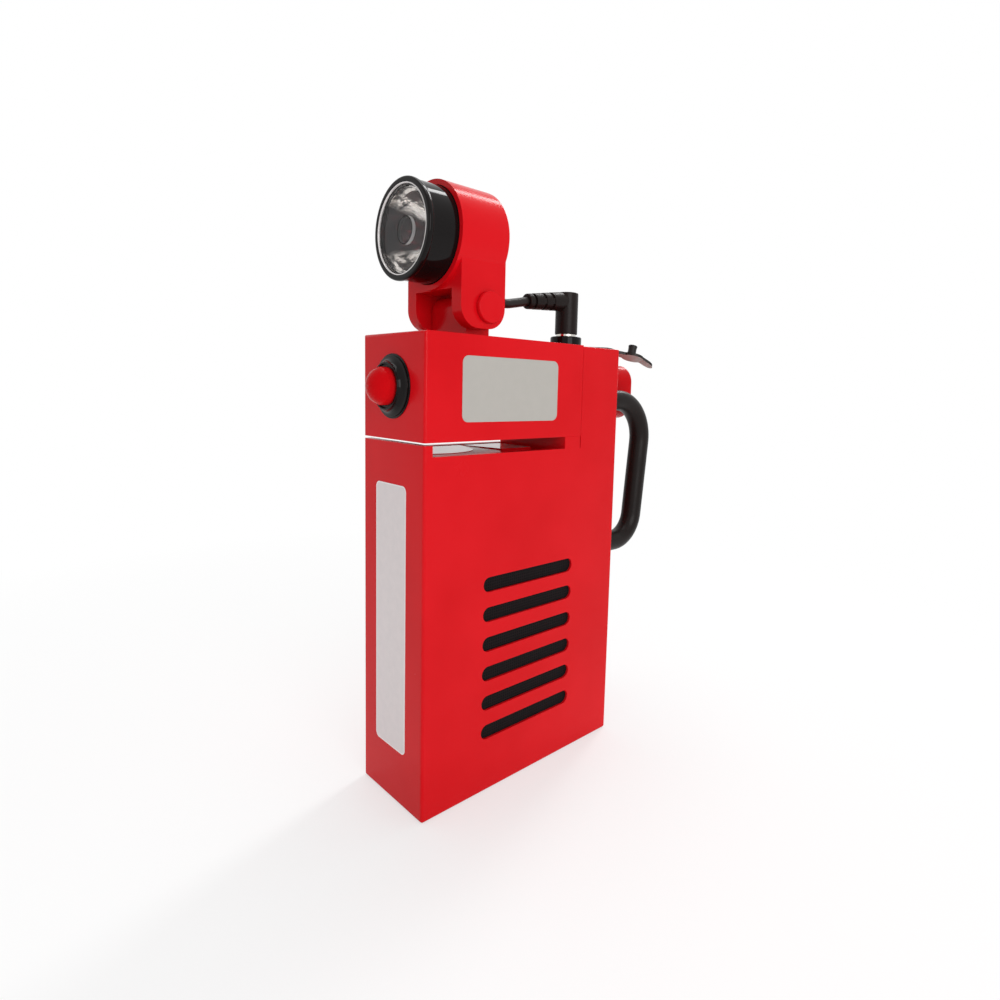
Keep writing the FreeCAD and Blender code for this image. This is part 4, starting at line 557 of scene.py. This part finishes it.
def moulded_copy(node, name, width, sharp=32.0, seam=None, reach=0.0):
    """A smooth copy of a CAD node with its sharp edges eased, but not those along a seam.

    The seam is a flat side that faces along X. The reach moves it that way.
    """
    bm = merged(node)
    at_seam = [vert for vert in bm.verts if seam and abs(vert.co.x - seam) < 0.02 * MM]
    for vert in at_seam:
        vert.co.x += reach * MM
    if width:
        soften(bm, width, plain=set(at_seam))
    body = cad[node]["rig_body"]
    slot = SLOTS[node]
    return finish_piece(bm, name, MATERIALS[slot], body, (node,), sharp)


# Corners this near to the axis close a turned shape, and its poles weld within POLE_WELD.
ON_AXIS = 0.0001 * MM
POLE_WELD = 0.0005 * MM
# Turns that bring X, the axis that shapes are turned about, onto their own axis
AXES = {
    "X": Matrix.Identity(4),
    "Y": Matrix.Rotation(math.pi / 2, 4, "Z"),
    "Z": Matrix.Rotation(-math.pi / 2, 4, "Y"),
}


def turned(profile, axis, place, steps=96):
    """A closed turned shape. Each profile corner is (along the axis, radius, rounding)."""
    bm = bmesh.new()
    corners = [bm.verts.new((along * MM, radius * MM, 0.0)) for along, radius, _ in profile]
    bm.faces.new(corners)
    rounded = [(vert, row[2]) for vert, row in zip(corners, profile) if row[2] > 0]
    for vert, rounding in rounded:
        bmesh.ops.bevel(
            bm,
            geom=[vert],
            offset=rounding * MM,
            offset_type="OFFSET",
            affect="VERTICES",
            segments=5,
            profile=0.5,
            clamp_overlap=True,
            material=-1,
        )
    bmesh.ops.delete(bm, geom=bm.faces[:], context="FACES_ONLY")
    on_axis = [edge for edge in bm.edges if all(abs(vert.co.y) < ON_AXIS for vert in edge.verts)]
    bmesh.ops.delete(bm, geom=on_axis, context="EDGES")
    bmesh.ops.spin(
        bm,
        geom=bm.verts[:] + bm.edges[:],
        cent=(0, 0, 0),
        axis=(1, 0, 0),
        dvec=(0, 0, 0),
        angle=2 * math.pi,
        steps=steps,
        use_merge=True,
        use_duplicate=False,
    )
    bmesh.ops.remove_doubles(bm, verts=bm.verts, dist=POLE_WELD)
    bmesh.ops.recalc_face_normals(bm, faces=bm.faces)
    bmesh.ops.transform(bm, matrix=Matrix.Translation(place) @ AXES[axis], verts=bm.verts)
    return bm


# The lamp's turned pieces. Millimetres, with every length along the axis counted back from a front.
BARREL_FRONT = 9.3
RIM_RADIUS = 13.1
TUBE_RADIUS = 12.8
TUBE_BORE = 11.75
LENS_SEAT = 12.15
LIP_RADIUS = 11.65
BEAD_RADIUS = 11.3
LINE_RADIUS = 11.1
BEAD_STANDS = 0.42
LENS_BACK_RADIUS = 10.95
LENS_STEP = 0.15
RIB_RADIUS = 3.6
RIB_THICK = 0.25


def bezel():
    low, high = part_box("lamp_bezel")
    front = Vector((low.x, 0, middle("lamp_bezel").z))
    length = (high.x - low.x) / MM
    profile = [
        (0.0, LIP_RADIUS, 0.2),
        (0.0, RIM_RADIUS, 0.5),
        (1.2, RIM_RADIUS, 0.3),
        (1.6, TUBE_RADIUS, 0.2),
        (BARREL_FRONT, TUBE_RADIUS, 0.0),
        (length, TUBE_RADIUS, 0.2),
        (length, TUBE_BORE, 0.1),
        (1.9, TUBE_BORE, 0.0),
        (1.9, LENS_SEAT, 0.0),
        (0.45, LENS_SEAT, 0.0),
        (0.45, LIP_RADIUS, 0.1),
    ]
    bm = turned(profile, "X", front, 128)
    return finish_piece(bm, "bezel_ring", BLACK_GLOSS, "lamp", ("lamp_bezel",))


def lens():
    """The clear disc. A bead stands at its edge, level with the rim, painted pale as a highlight,
    round a ring painted dark as shade.
    """
    low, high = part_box("lens")
    front = Vector((low.x, 0, middle("lens").z))
    radius = (high.z - low.z) / 2 / MM
    depth = (high.x - low.x) / MM
    draft = 0.05
    profile = [
        (0.0, 0.0, 0.0),
        (0.0, LINE_RADIUS, 0.0),
        (0.0, BEAD_RADIUS, 0.0),
        (-BEAD_STANDS, BEAD_RADIUS + draft, 0.05),
        (-BEAD_STANDS, LIP_RADIUS - draft, 0.05),
        (0.0, LIP_RADIUS - draft, 0.0),
        (0.0, radius, 0.1),
        (depth - LENS_STEP, radius, 0.05),
        (depth - LENS_STEP, LENS_BACK_RADIUS, 0.0),
        (depth, LENS_BACK_RADIUS - draft, 0.0),
        (depth, 0.0, 0.0),
    ]
    bm = turned(profile, "X", front, 128)
    for face in bm.faces:
        centre = face.calc_center_median() - front
        reach = math.hypot(centre.y, centre.z) / MM
        if centre.x > depth * MM / 2:
            continue
        # The bead's faces take the painted highlight, the ring inside it a painted dark shade.
        if reach > BEAD_RADIUS:
            face.material_index = 1
        elif reach > LINE_RADIUS:
            face.material_index = 2
    piece = finish_piece(bm, "lens_disc", LENS, "lamp", ("lens",))
    piece.data.materials.append(PAINTED_LENS_HIGHLIGHT)
    piece.data.materials.append(RUBBER)


def lens_rib():
    """A thin ring moulded on the back of the lens, over the LED: painted pale outside as a highlight,
    painted dark inside as shade.
    """
    back = Vector((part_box("lens")[1].x, 0, middle("lens").z))
    profile = [
        (0.0, RIB_RADIUS - RIB_THICK, 0.0),
        (1.0, RIB_RADIUS - RIB_THICK, 0.1),
        (1.0, RIB_RADIUS, 0.1),
        (0.0, RIB_RADIUS, 0.0),
    ]
    bm = turned(profile, "X", back, 64)
    for face in bm.faces:
        centre = face.calc_center_median() - back
        outward = face.normal.y * centre.y + face.normal.z * centre.z
        # Outward faces take the painted highlight, inward faces the painted shade.
        face.material_index = 0 if outward > 0 else 1
    piece = finish_piece(bm, "lens_rib", PAINTED_LENS_HIGHLIGHT, "lamp")
    piece.data.materials.append(RUBBER)


def bowl_collar():
    """The bowl's wall carried forward to the lens, with a flange in front of the seal, bright with
    the reflector's painted highlights.
    """
    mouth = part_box("reflector")[0].x
    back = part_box("lens")[1].x
    reach = (mouth - back) / MM
    profile = [
        (reach, 10.75, 0.0),
        (0.03, 10.75, 0.0),
        (0.03, 10.93, 0.0),
        (-0.11, 10.98, 0.0),
        (-0.11, 11.6, 0.0),
        (-0.02, 11.6, 0.0),
        (-0.02, 10.97, 0.0),
        (0.08, 10.85, 0.0),
        (reach, 10.85, 0.0),
    ]
    bm = turned(profile, "X", Vector((back, 0, middle("lens").z)), 96)
    finish_piece(bm, "bowl_collar", REFLECTOR, "lamp")


# The washer under the switch's collar. Millimetres.
WASHER_SHOWS = 0.5
WASHER_WIDE = 1.6
WASHER_THICK = 0.35


def switch_washer():
    """The thin rubber washer that shows round the switch's collar."""
    low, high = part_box("switch_collar")
    radius = (high.z - low.z) / 2 / MM + WASHER_SHOWS
    face = Vector((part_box("tank_shell")[0].x, middle("switch_collar").y, middle("switch_collar").z))
    profile = [
        (-WASHER_THICK, radius - WASHER_WIDE, 0.0),
        (-WASHER_THICK, radius, 0.15),
        (0.0, radius, 0.0),
        (0.0, radius - WASHER_WIDE, 0.0),
    ]
    bm = turned(profile, "X", face, 96)
    finish_piece(bm, "switch_washer", BLACK_GLOSS, "head")


# The cord from the lamp to its plug, by the solid's points. The third and fourth are moved by about
# 1 at most, down and towards the lamp, to follow the photograph. Millimetres, x and z.
CORD_ROUTE = [(-9.0, 144.3), (-4.9, 144.3), (-0.3, 141.3), (4.8, 142.2), (9.7, 143.25)]
CORD_RADIUS = 1.4


def cord_line(points):
    curve = bpy.data.curves.new("lamp_cord_line", "CURVE")
    curve.dimensions = "3D"
    curve.resolution_u = 24
    spline = curve.splines.new("NURBS")
    spline.points.add(len(points) - 1)
    for point, (x, z) in zip(spline.points, points):
        point.co = (x * MM, 0.0, z * MM, 1.0)
    spline.order_u = 3
    spline.use_endpoint_u = True
    return curve


def cord():
    curve = cord_line(CORD_ROUTE)
    curve.bevel_depth = CORD_RADIUS * MM
    curve.bevel_resolution = 6
    curve.use_fill_caps = True
    line = bpy.data.objects.new("lamp_cord_line", curve)
    mesh = bpy.data.meshes.new_from_object(line)
    bpy.data.objects.remove(line)
    mesh.name = "lamp_lead"
    mesh.materials.clear()
    mesh.materials.append(RUBBER)
    mesh.shade_smooth()
    piece = bpy.data.objects.new("lamp_lead", mesh)
    bpy.context.scene.collection.objects.link(piece)
    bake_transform(piece)
    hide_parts("lamp_cord")


# Thin films on the faces. Millimetres: places across and up, and on the deck x, y and a rounding.
FILM_STANDS = 0.10
FILM_SINKS = 0.05
PLATE_LOW = (-26.4, 107.1)
PLATE_HIGH = (9.1, 124.5)
PLATE_ROUND = 1.9
LABEL_LOW = (-6.75, 15.5)
LABEL_HIGH = (8.1, 90.0)
LABEL_ROUND = 1.6
LABEL_BORDER = 0.35
DECK_TOP = 98.1
REFLECTION_FILM_STANDS = 0.12
PAD_DROP = 1.0
# The deck films are pale as a painted reflection of the bright background.
REFLECTION_FILM_LEFT = [
    (-34.6, -4.0, 2.5),
    (-24.0, -8.4, 6.0),
    (-12.0, -3.5, 5.0),
    (-7.5, 9.0, 1.0),
    (-7.5, 12.2, 0.5),
    (-34.6, 12.2, 0.5),
]
REFLECTION_FILM_RIGHT = [(-2.6, -4.1, 0.5), (9.5, -4.1, 0.5), (9.5, 12.2, 0.5), (-6.1, 12.2, 0.5)]

# The pads in the vent slots. Millimetres.
SLOT_COUNT = 6
SLOT_LOW = 18.0
SLOT_SPACING = 8.7
SLOT_RISE = 2.12
SLOT_HALF = 17.95
SLOT_DEPTH = 0.7
SLOT_PAD_THICK = 0.9


def film(name, material, body, low, high, rounding):
    """A thin block with four round corners. Its thinnest side is its thickness."""
    bm = bmesh.new()
    bmesh.ops.create_cube(bm, size=1.0)
    span = high - low
    bmesh.ops.scale(bm, vec=span, verts=bm.verts)
    bmesh.ops.translate(bm, vec=(low + high) / 2, verts=bm.verts)
    thin = min(range(3), key=lambda axis: span[axis])
    edges = []
    for edge in bm.edges:
        run = edge.verts[0].co - edge.verts[1].co
        if abs(run[thin]) > abs(span[thin]) / 2:
            edges.append(edge)
    bmesh.ops.bevel(
        bm,
        geom=edges,
        offset=rounding,
        offset_type="OFFSET",
        affect="EDGES",
        segments=8,
        profile=0.5,
        material=-1,
    )
    return finish_piece(bm, name, material, body)


def edged_film(name, material, edge, border, body, low, high, rounding):
    """A film on a left side, with a border of another, paler tone round its outer face: a painted
    highlight along its edge.
    """
    piece = film(name, material, body, low, high, rounding)
    bm = bmesh.new()
    bm.from_mesh(piece.data)
    outer = min(bm.faces, key=lambda face: face.calc_center_median().x)
    highlight_rim = bmesh.ops.inset_region(bm, faces=[outer], thickness=border)
    for face in highlight_rim["faces"]:
        face.material_index = 1
    bm.to_mesh(piece.data)
    bm.free()
    piece.data.materials.append(edge)


def slot_pads():
    """The black pad that fills each vent slot a little behind the wall's face."""
    face_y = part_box("tank_shell")[0].y
    back_y = face_y + (SLOT_DEPTH + SLOT_PAD_THICK) * MM
    for row in range(SLOT_COUNT):
        height = SLOT_LOW + SLOT_SPACING * row
        film(
            f"slot_pad_{row + 1}",
            CATHODE,
            "tank",
            Vector((-SLOT_HALF * MM, face_y + SLOT_DEPTH * MM, (height - SLOT_RISE) * MM)),
            Vector((SLOT_HALF * MM, back_y, (height + SLOT_RISE) * MM)),
            (SLOT_RISE - 0.01) * MM,
        )


def deck_film(name, outline, drop):
    """A film on the carrier's deck, or on a red pad where the deck is lower by the drop. Its pale top
    is a painted reflection of the bright background.
    """
    bm = bmesh.new()
    foot_z = (DECK_TOP - drop) * MM
    corners = [bm.verts.new((x * MM, y * MM, foot_z)) for x, y, _ in outline]
    bm.faces.new(corners)
    for vert, (_, _, rounding) in zip(corners, outline):
        bmesh.ops.bevel(
            bm,
            geom=[vert],
            offset=rounding * MM,
            offset_type="OFFSET",
            affect="VERTICES",
            segments=8,
            profile=0.5,
            clamp_overlap=True,
            material=-1,
        )
    grown = bmesh.ops.extrude_face_region(bm, geom=bm.faces[:])
    raised = [item for item in grown["geom"] if isinstance(item, bmesh.types.BMVert)]
    bmesh.ops.translate(bm, vec=(0, 0, (drop + REFLECTION_FILM_STANDS) * MM), verts=raised)
    bmesh.ops.recalc_face_normals(bm, faces=bm.faces)
    for face in bm.faces:
        face.material_index = 0 if face.normal.z > 0.5 else 1
    piece = finish_piece(bm, name, DECK_PAINTED_REFLECTION, "head")
    piece.data.materials.append(RED)


def films():
    left_x, face_y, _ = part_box("tank_shell")[0]
    plate_low = (PLATE_LOW[0] * MM, face_y - FILM_STANDS * MM, PLATE_LOW[1] * MM)
    plate_high = (PLATE_HIGH[0] * MM, face_y + FILM_SINKS * MM, PLATE_HIGH[1] * MM)
    film("head_plate", PLATE, "head", Vector(plate_low), Vector(plate_high), PLATE_ROUND * MM)
    edged_film(
        "side_label",
        LABEL,
        LABEL_PAINTED_EDGE_HIGHLIGHT,
        LABEL_BORDER * MM,
        "tank",
        Vector((left_x - FILM_STANDS * MM, LABEL_LOW[0] * MM, LABEL_LOW[1] * MM)),
        Vector((left_x + FILM_SINKS * MM, LABEL_HIGH[0] * MM, LABEL_HIGH[1] * MM)),
        LABEL_ROUND * MM,
    )
    deck_film("deck_reflection_film_left", REFLECTION_FILM_LEFT, 0.0)
    deck_film("deck_reflection_film_right", REFLECTION_FILM_RIGHT, PAD_DROP)


# The dust cap: one rubber strap from the ring under the nut to the pull tab. Millimetres along it
# from the jack's axis.
STRAP_TURN = math.radians(-33.8)
STRAP_RING = 4.9
STRAP_HALF = 2.2
STRAP_HINGE = 13.8
BEND_START = STRAP_HINGE - 1.0
BEND_END = STRAP_HINGE + 4.0
DISC_AT = 23.3
DISC_RADIUS = 3.8
TAB_HALF = 2.1
TAB_END = 30.4
TAB_BEND = DISC_AT + DISC_RADIUS - 0.8
STOPPER_AT = 22.8
STOPPER_SINKS = 0.4
STRAP_THICK = 0.9
STRAP_LIFT = 0.02
STRAP_SLOPE = 0.225
TAB_SLOPE = 0.34
DISC_ROLL = math.radians(10.5)
ROLL_END = DISC_AT - 2.0


def round_reach(at, centre, radius):
    """Half width of a circle at a place along the strap."""
    inside = radius * radius - (at - centre) ** 2
    return math.sqrt(inside) if inside > 0 else 0.0


def strap_half_width(at):
    """Half width of the strap along its length: ring, strap, disc and pull tab."""
    tab_middle = TAB_END - TAB_HALF
    reach = round_reach(at, 0.0, STRAP_RING)
    if 0.0 <= at <= DISC_AT:
        reach = max(reach, STRAP_HALF)
    if DISC_AT <= at <= tab_middle:
        reach = max(reach, TAB_HALF)
    reach = max(reach, round_reach(at, DISC_AT, DISC_RADIUS))
    return max(reach, round_reach(at, tab_middle, TAB_HALF), 0.05)


def eased(value, low, high):
    """From 0 to 1 with level ends, as value goes from low to high."""
    share = min(1.0, max(0.0, (value - low) / (high - low)))
    return share * share * (3 - 2 * share)


def strap_drop(at):
    """How far the strap hangs below the column's top at a place along it."""
    drop = STRAP_SLOPE * max(0.0, at - BEND_START) * eased(at, BEND_START, BEND_END)
    return drop + TAB_SLOPE * max(0.0, at - TAB_BEND)


def dust_strap():
    bm = bmesh.new()
    bmesh.ops.create_grid(bm, x_segments=150, y_segments=12, size=1.0)
    for vert in bm.verts:
        at = -STRAP_RING + (TAB_END + STRAP_RING) * (vert.co.x + 1.0) / 2
        across = vert.co.y * strap_half_width(at)
        roll = DISC_ROLL * eased(at, STRAP_HINGE, ROLL_END)
        height = STRAP_THICK - strap_drop(at) - across * math.sin(roll)
        vert.co = Vector((at, across, height)) * MM
    bmesh.ops.solidify(bm, geom=bm.faces[:], thickness=STRAP_THICK * MM)
    low = min(vert.co.z for vert in bm.verts if vert.co.x < 0)
    bmesh.ops.translate(bm, vec=(0, 0, -low), verts=bm.verts)
    bmesh.ops.recalc_face_normals(bm, faces=bm.faces)
    # Downward faces take the pale grey, a painted reflection of the floor.
    for face in bm.faces:
        face.material_index = 1 if face.normal.z < -0.5 else 0

    stopper = turned(
        [(0.0, 0.0, 0.0), (0.0, 1.4, 0.0), (3.0, 1.4, 0.2), (3.9, 1.6, 0.4), (3.9, 0.0, 0.0)],
        "Z",
        Vector((0, 0, 0)),
        40,
    )
    foot_z = STRAP_THICK - strap_drop(STOPPER_AT) - STOPPER_SINKS
    foot = Vector((STOPPER_AT, 0, foot_z)) * MM
    tip = Matrix.Rotation(-DISC_ROLL, 4, "X") @ Matrix.Rotation(math.atan(STRAP_SLOPE), 4, "Y")
    bmesh.ops.transform(stopper, matrix=Matrix.Translation(foot) @ tip, verts=stopper.verts)
    add_bmesh(bm, stopper)

    jack = Vector((middle("jack_nut").x, 0.0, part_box("dust_ring")[0].z))
    lift = Vector((0.0, 0.0, STRAP_LIFT * MM))
    turn = Matrix.Rotation(STRAP_TURN, 4, "Z")
    bmesh.ops.transform(bm, matrix=Matrix.Translation(jack + lift) @ turn, verts=bm.verts)
    piece = finish_piece(bm, "dust_strap", RUBBER, None, ("dust_ring", "dust_cap"), 50.0)
    piece.data.materials.append(STRAP_PAINTED_REFLECTION)
    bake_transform(piece)


# The plug: an upright with a ribbed strain relief, from the cord's end. Millimetres. A web joins two
# ribs: its middle along the relief, its width and its height.
UPRIGHT_RADIUS = 3.7
RELIEF_START = Vector((CORD_ROUTE[-1][0], 0.0, CORD_ROUTE[-1][1]))
RELIEF_TILT = math.radians(6.1)
WEB_THICK = 1.1
RELIEF_WEBS = ((2.15, 1.7, 4.5), (6.35, 4.9, 1.6), (9.8, 5.2, 1.8))


def plug():
    low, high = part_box("plug_body")
    upright_h = high.z / MM - low.z / MM
    bm = turned(
        [
            (0.0, 0.0, 0.0),
            (0.0, UPRIGHT_RADIUS, 0.35),
            (upright_h, UPRIGHT_RADIUS, 0.45),
            (upright_h, 0.0, 0.0),
        ],
        "Z",
        Vector((middle("jack_nut").x, 0.0, low.z)),
        72,
    )
    relief = turned(
        [
            (0.9, 0.0, 0.0),
            (0.0, 1.75, 0.1),
            (0.0, 2.35, 0.3),
            (1.7, 2.42, 0.1),
            (1.7, 1.9, 0.0),
            (2.6, 1.9, 0.0),
            (2.6, 2.48, 0.1),
            (5.9, 2.62, 0.15),
            (5.9, 2.15, 0.0),
            (6.8, 2.15, 0.0),
            (6.8, 2.68, 0.15),
            (9.3, 2.8, 0.15),
            (9.3, 2.35, 0.0),
            (10.3, 2.35, 0.0),
            (10.3, 2.85, 0.15),
            (14.0, 3.0, 0.0),
            (17.0, 3.0, 0.0),
            (17.0, 0.0, 0.0),
        ],
        "X",
        Vector((0, 0, 0)),
        72,
    )
    for along, across, height in RELIEF_WEBS:
        web = bmesh.new()
        bmesh.ops.create_cube(web, size=1.0)
        bmesh.ops.scale(web, vec=Vector((WEB_THICK, across, height)) * MM, verts=web.verts)
        bmesh.ops.translate(web, vec=Vector((along, 0, 0)) * MM, verts=web.verts)
        add_bmesh(relief, web)
    tilt = Matrix.Rotation(-RELIEF_TILT, 4, "Y")
    place = Matrix.Translation(RELIEF_START * MM) @ tilt
    bmesh.ops.transform(relief, matrix=place, verts=relief.verts)
    add_bmesh(bm, relief)
    finish_piece(bm, "plug_moulding", BLACK, "head", ("plug_body",), 35.0)


# The studio: a pale floor, a soft even sky and soft lamps. GLOSS_SHARE is how white a reflection of
# the background is, and SKY_LEVEL the sky's light on the object. The floor's own glow rises from
# FLOOR_NEAR to full between the two distances of FLOOR_FADE. Metres and watts.
GLOSS_SHARE = 0.8
SKY_LEVEL = 0.52
FLOOR_HALF = 6.0
FLOOR_BELOW = 0.00005
FLOOR_FADE = (0.06, 0.34)
FLOOR_NEAR = 0.55
LAMPS = [
    {
        "name": "top_lamp",
        "place": (0.05, 0.05, 0.8),
        "target": (0.0, 0.0, 0.1),
        "width": 0.5,
        "height": 0.5,
        "power": 2.0,
    },
    {
        "name": "front_lamp",
        "place": (-0.2, -0.8, 0.3),
        "target": (0.0, 0.0, 0.08),
        "width": 0.5,
        "height": 0.5,
        "power": 2.8,
    },
    {
        "name": "strip_lamp",
        "place": (0.63, 0.18, 0.8),
        "target": (0.0, 0.0, 0.15),
        "width": 0.14,
        "height": 0.7,
        "power": 2.8,
    },
]


def background_mask(tree):
    """How white the background is for each kind of ray: full where the camera or glass sees it."""
    path = add_node(tree, "ShaderNodeLightPath").outputs
    gloss = maths(tree, "MULTIPLY", path["Is Glossy Ray"], GLOSS_SHARE)
    clear = maths(tree, "MAXIMUM", path["Is Camera Ray"], path["Is Transmission Ray"])
    return maths(tree, "MAXIMUM", clear, gloss)


def studio_floor():
    """The floor glows white far out and keeps the object's soft shadow near it."""
    bm = bmesh.new()
    bmesh.ops.create_grid(bm, x_segments=1, y_segments=1, size=FLOOR_HALF)
    mesh = bpy.data.meshes.new("studio_floor")
    bm.to_mesh(mesh)
    bm.free()
    material, tree, shader = new_material("floor_paper", colour=(0.90, 0.90, 0.90), rough=0.9)
    reach = add_node(tree, "ShaderNodeVectorMath", operation="LENGTH")
    wire(tree, object_place(tree), reach.inputs[0])
    far = scaled_range(tree, reach.outputs["Value"], *FLOOR_FADE, FLOOR_NEAR, 1.0)
    glow = add_node(tree, "ShaderNodeEmission")
    glow.inputs["Color"].default_value = (1.0, 1.0, 1.0, 1.0)
    mixed = add_node(tree, "ShaderNodeMixShader")
    wire(tree, maths(tree, "MULTIPLY", far, background_mask(tree)), mixed.inputs["Fac"])
    wire(tree, shader.outputs["BSDF"], mixed.inputs[1])
    wire(tree, glow.outputs["Emission"], mixed.inputs[2])
    wire(tree, mixed.outputs["Shader"], tree.nodes["Material Output"].inputs["Surface"])
    mesh.materials.append(material)
    floor = bpy.data.objects.new("studio_floor", mesh)
    floor.location.z = cad_box[0].z - FLOOR_BELOW
    bpy.context.scene.collection.objects.link(floor)


def studio_sky():
    world = bpy.data.worlds.new("studio_sky")
    bpy.context.scene.world = world
    world.use_nodes = True
    tree = world.node_tree
    sky = tree.nodes["Background"]
    sky.inputs["Color"].default_value = (1.0, 1.0, 1.0, 1.0)
    strength = scaled_range(tree, background_mask(tree), 0.0, 1.0, SKY_LEVEL, 1.0)
    wire(tree, strength, sky.inputs["Strength"])


def soft_lamp(name, place, target, width, height, power):
    light = bpy.data.lights.new(name, "AREA")
    light.shape = "RECTANGLE"
    light.size = width
    light.size_y = height
    light.energy = power
    lamp = bpy.data.objects.new(name, light)
    lamp.location = place
    aim = Vector(target) - Vector(place)
    lamp.rotation_euler = aim.to_track_quat("-Z", "Y").to_euler()
    bpy.context.scene.collection.objects.link(lamp)


def studio():
    studio_floor()
    studio_sky()
    for row in LAMPS:
        soft_lamp(**row)


# The gap between the head's solid and the column, how much of it the drawn head takes up, and the
# knob's play at its stop. Millimetres.
SEAM = 0.3
SEAM_REACH = 0.2
KNOB_PLAY = 0.03


def moulded_pieces():
    """Smooth copies of the CAD pieces that show."""
    head_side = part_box("head_shell")[1].x
    moulded_copy("tank_shell", "tank_moulding", 0.15, seam=head_side + SEAM * MM)
    moulded_copy("head_shell", "head_moulding", 0.15, seam=head_side, reach=SEAM_REACH)
    moulded_copy("lamp_housing", "lamp_moulding", 0.2)
    moulded_copy("hinge_pin", "hinge_knob", 0.5)
    moulded_copy("handle", "carry_handle", 0.0)
    moulded_copy("filler_cap", "filler_cover", 0.1)
    moulded_copy("switch_collar", "switch_ring", 0.1)
    knob_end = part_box("switch_button")[1].x
    moulded_copy("switch_button", "switch_knob", 0.0, seam=knob_end, reach=-KNOB_PLAY)
    moulded_copy("jack_nut", "jack_ring_nut", 0.1)


photo_camera()
cord()
studio()
paint_nodes()
moulded_pieces()
bezel()
lens()
lens_rib()
bowl_collar()
switch_washer()
films()
slot_pads()
dust_strap()
plug()

bpy.context.scene.view_settings.view_transform = "Standard"
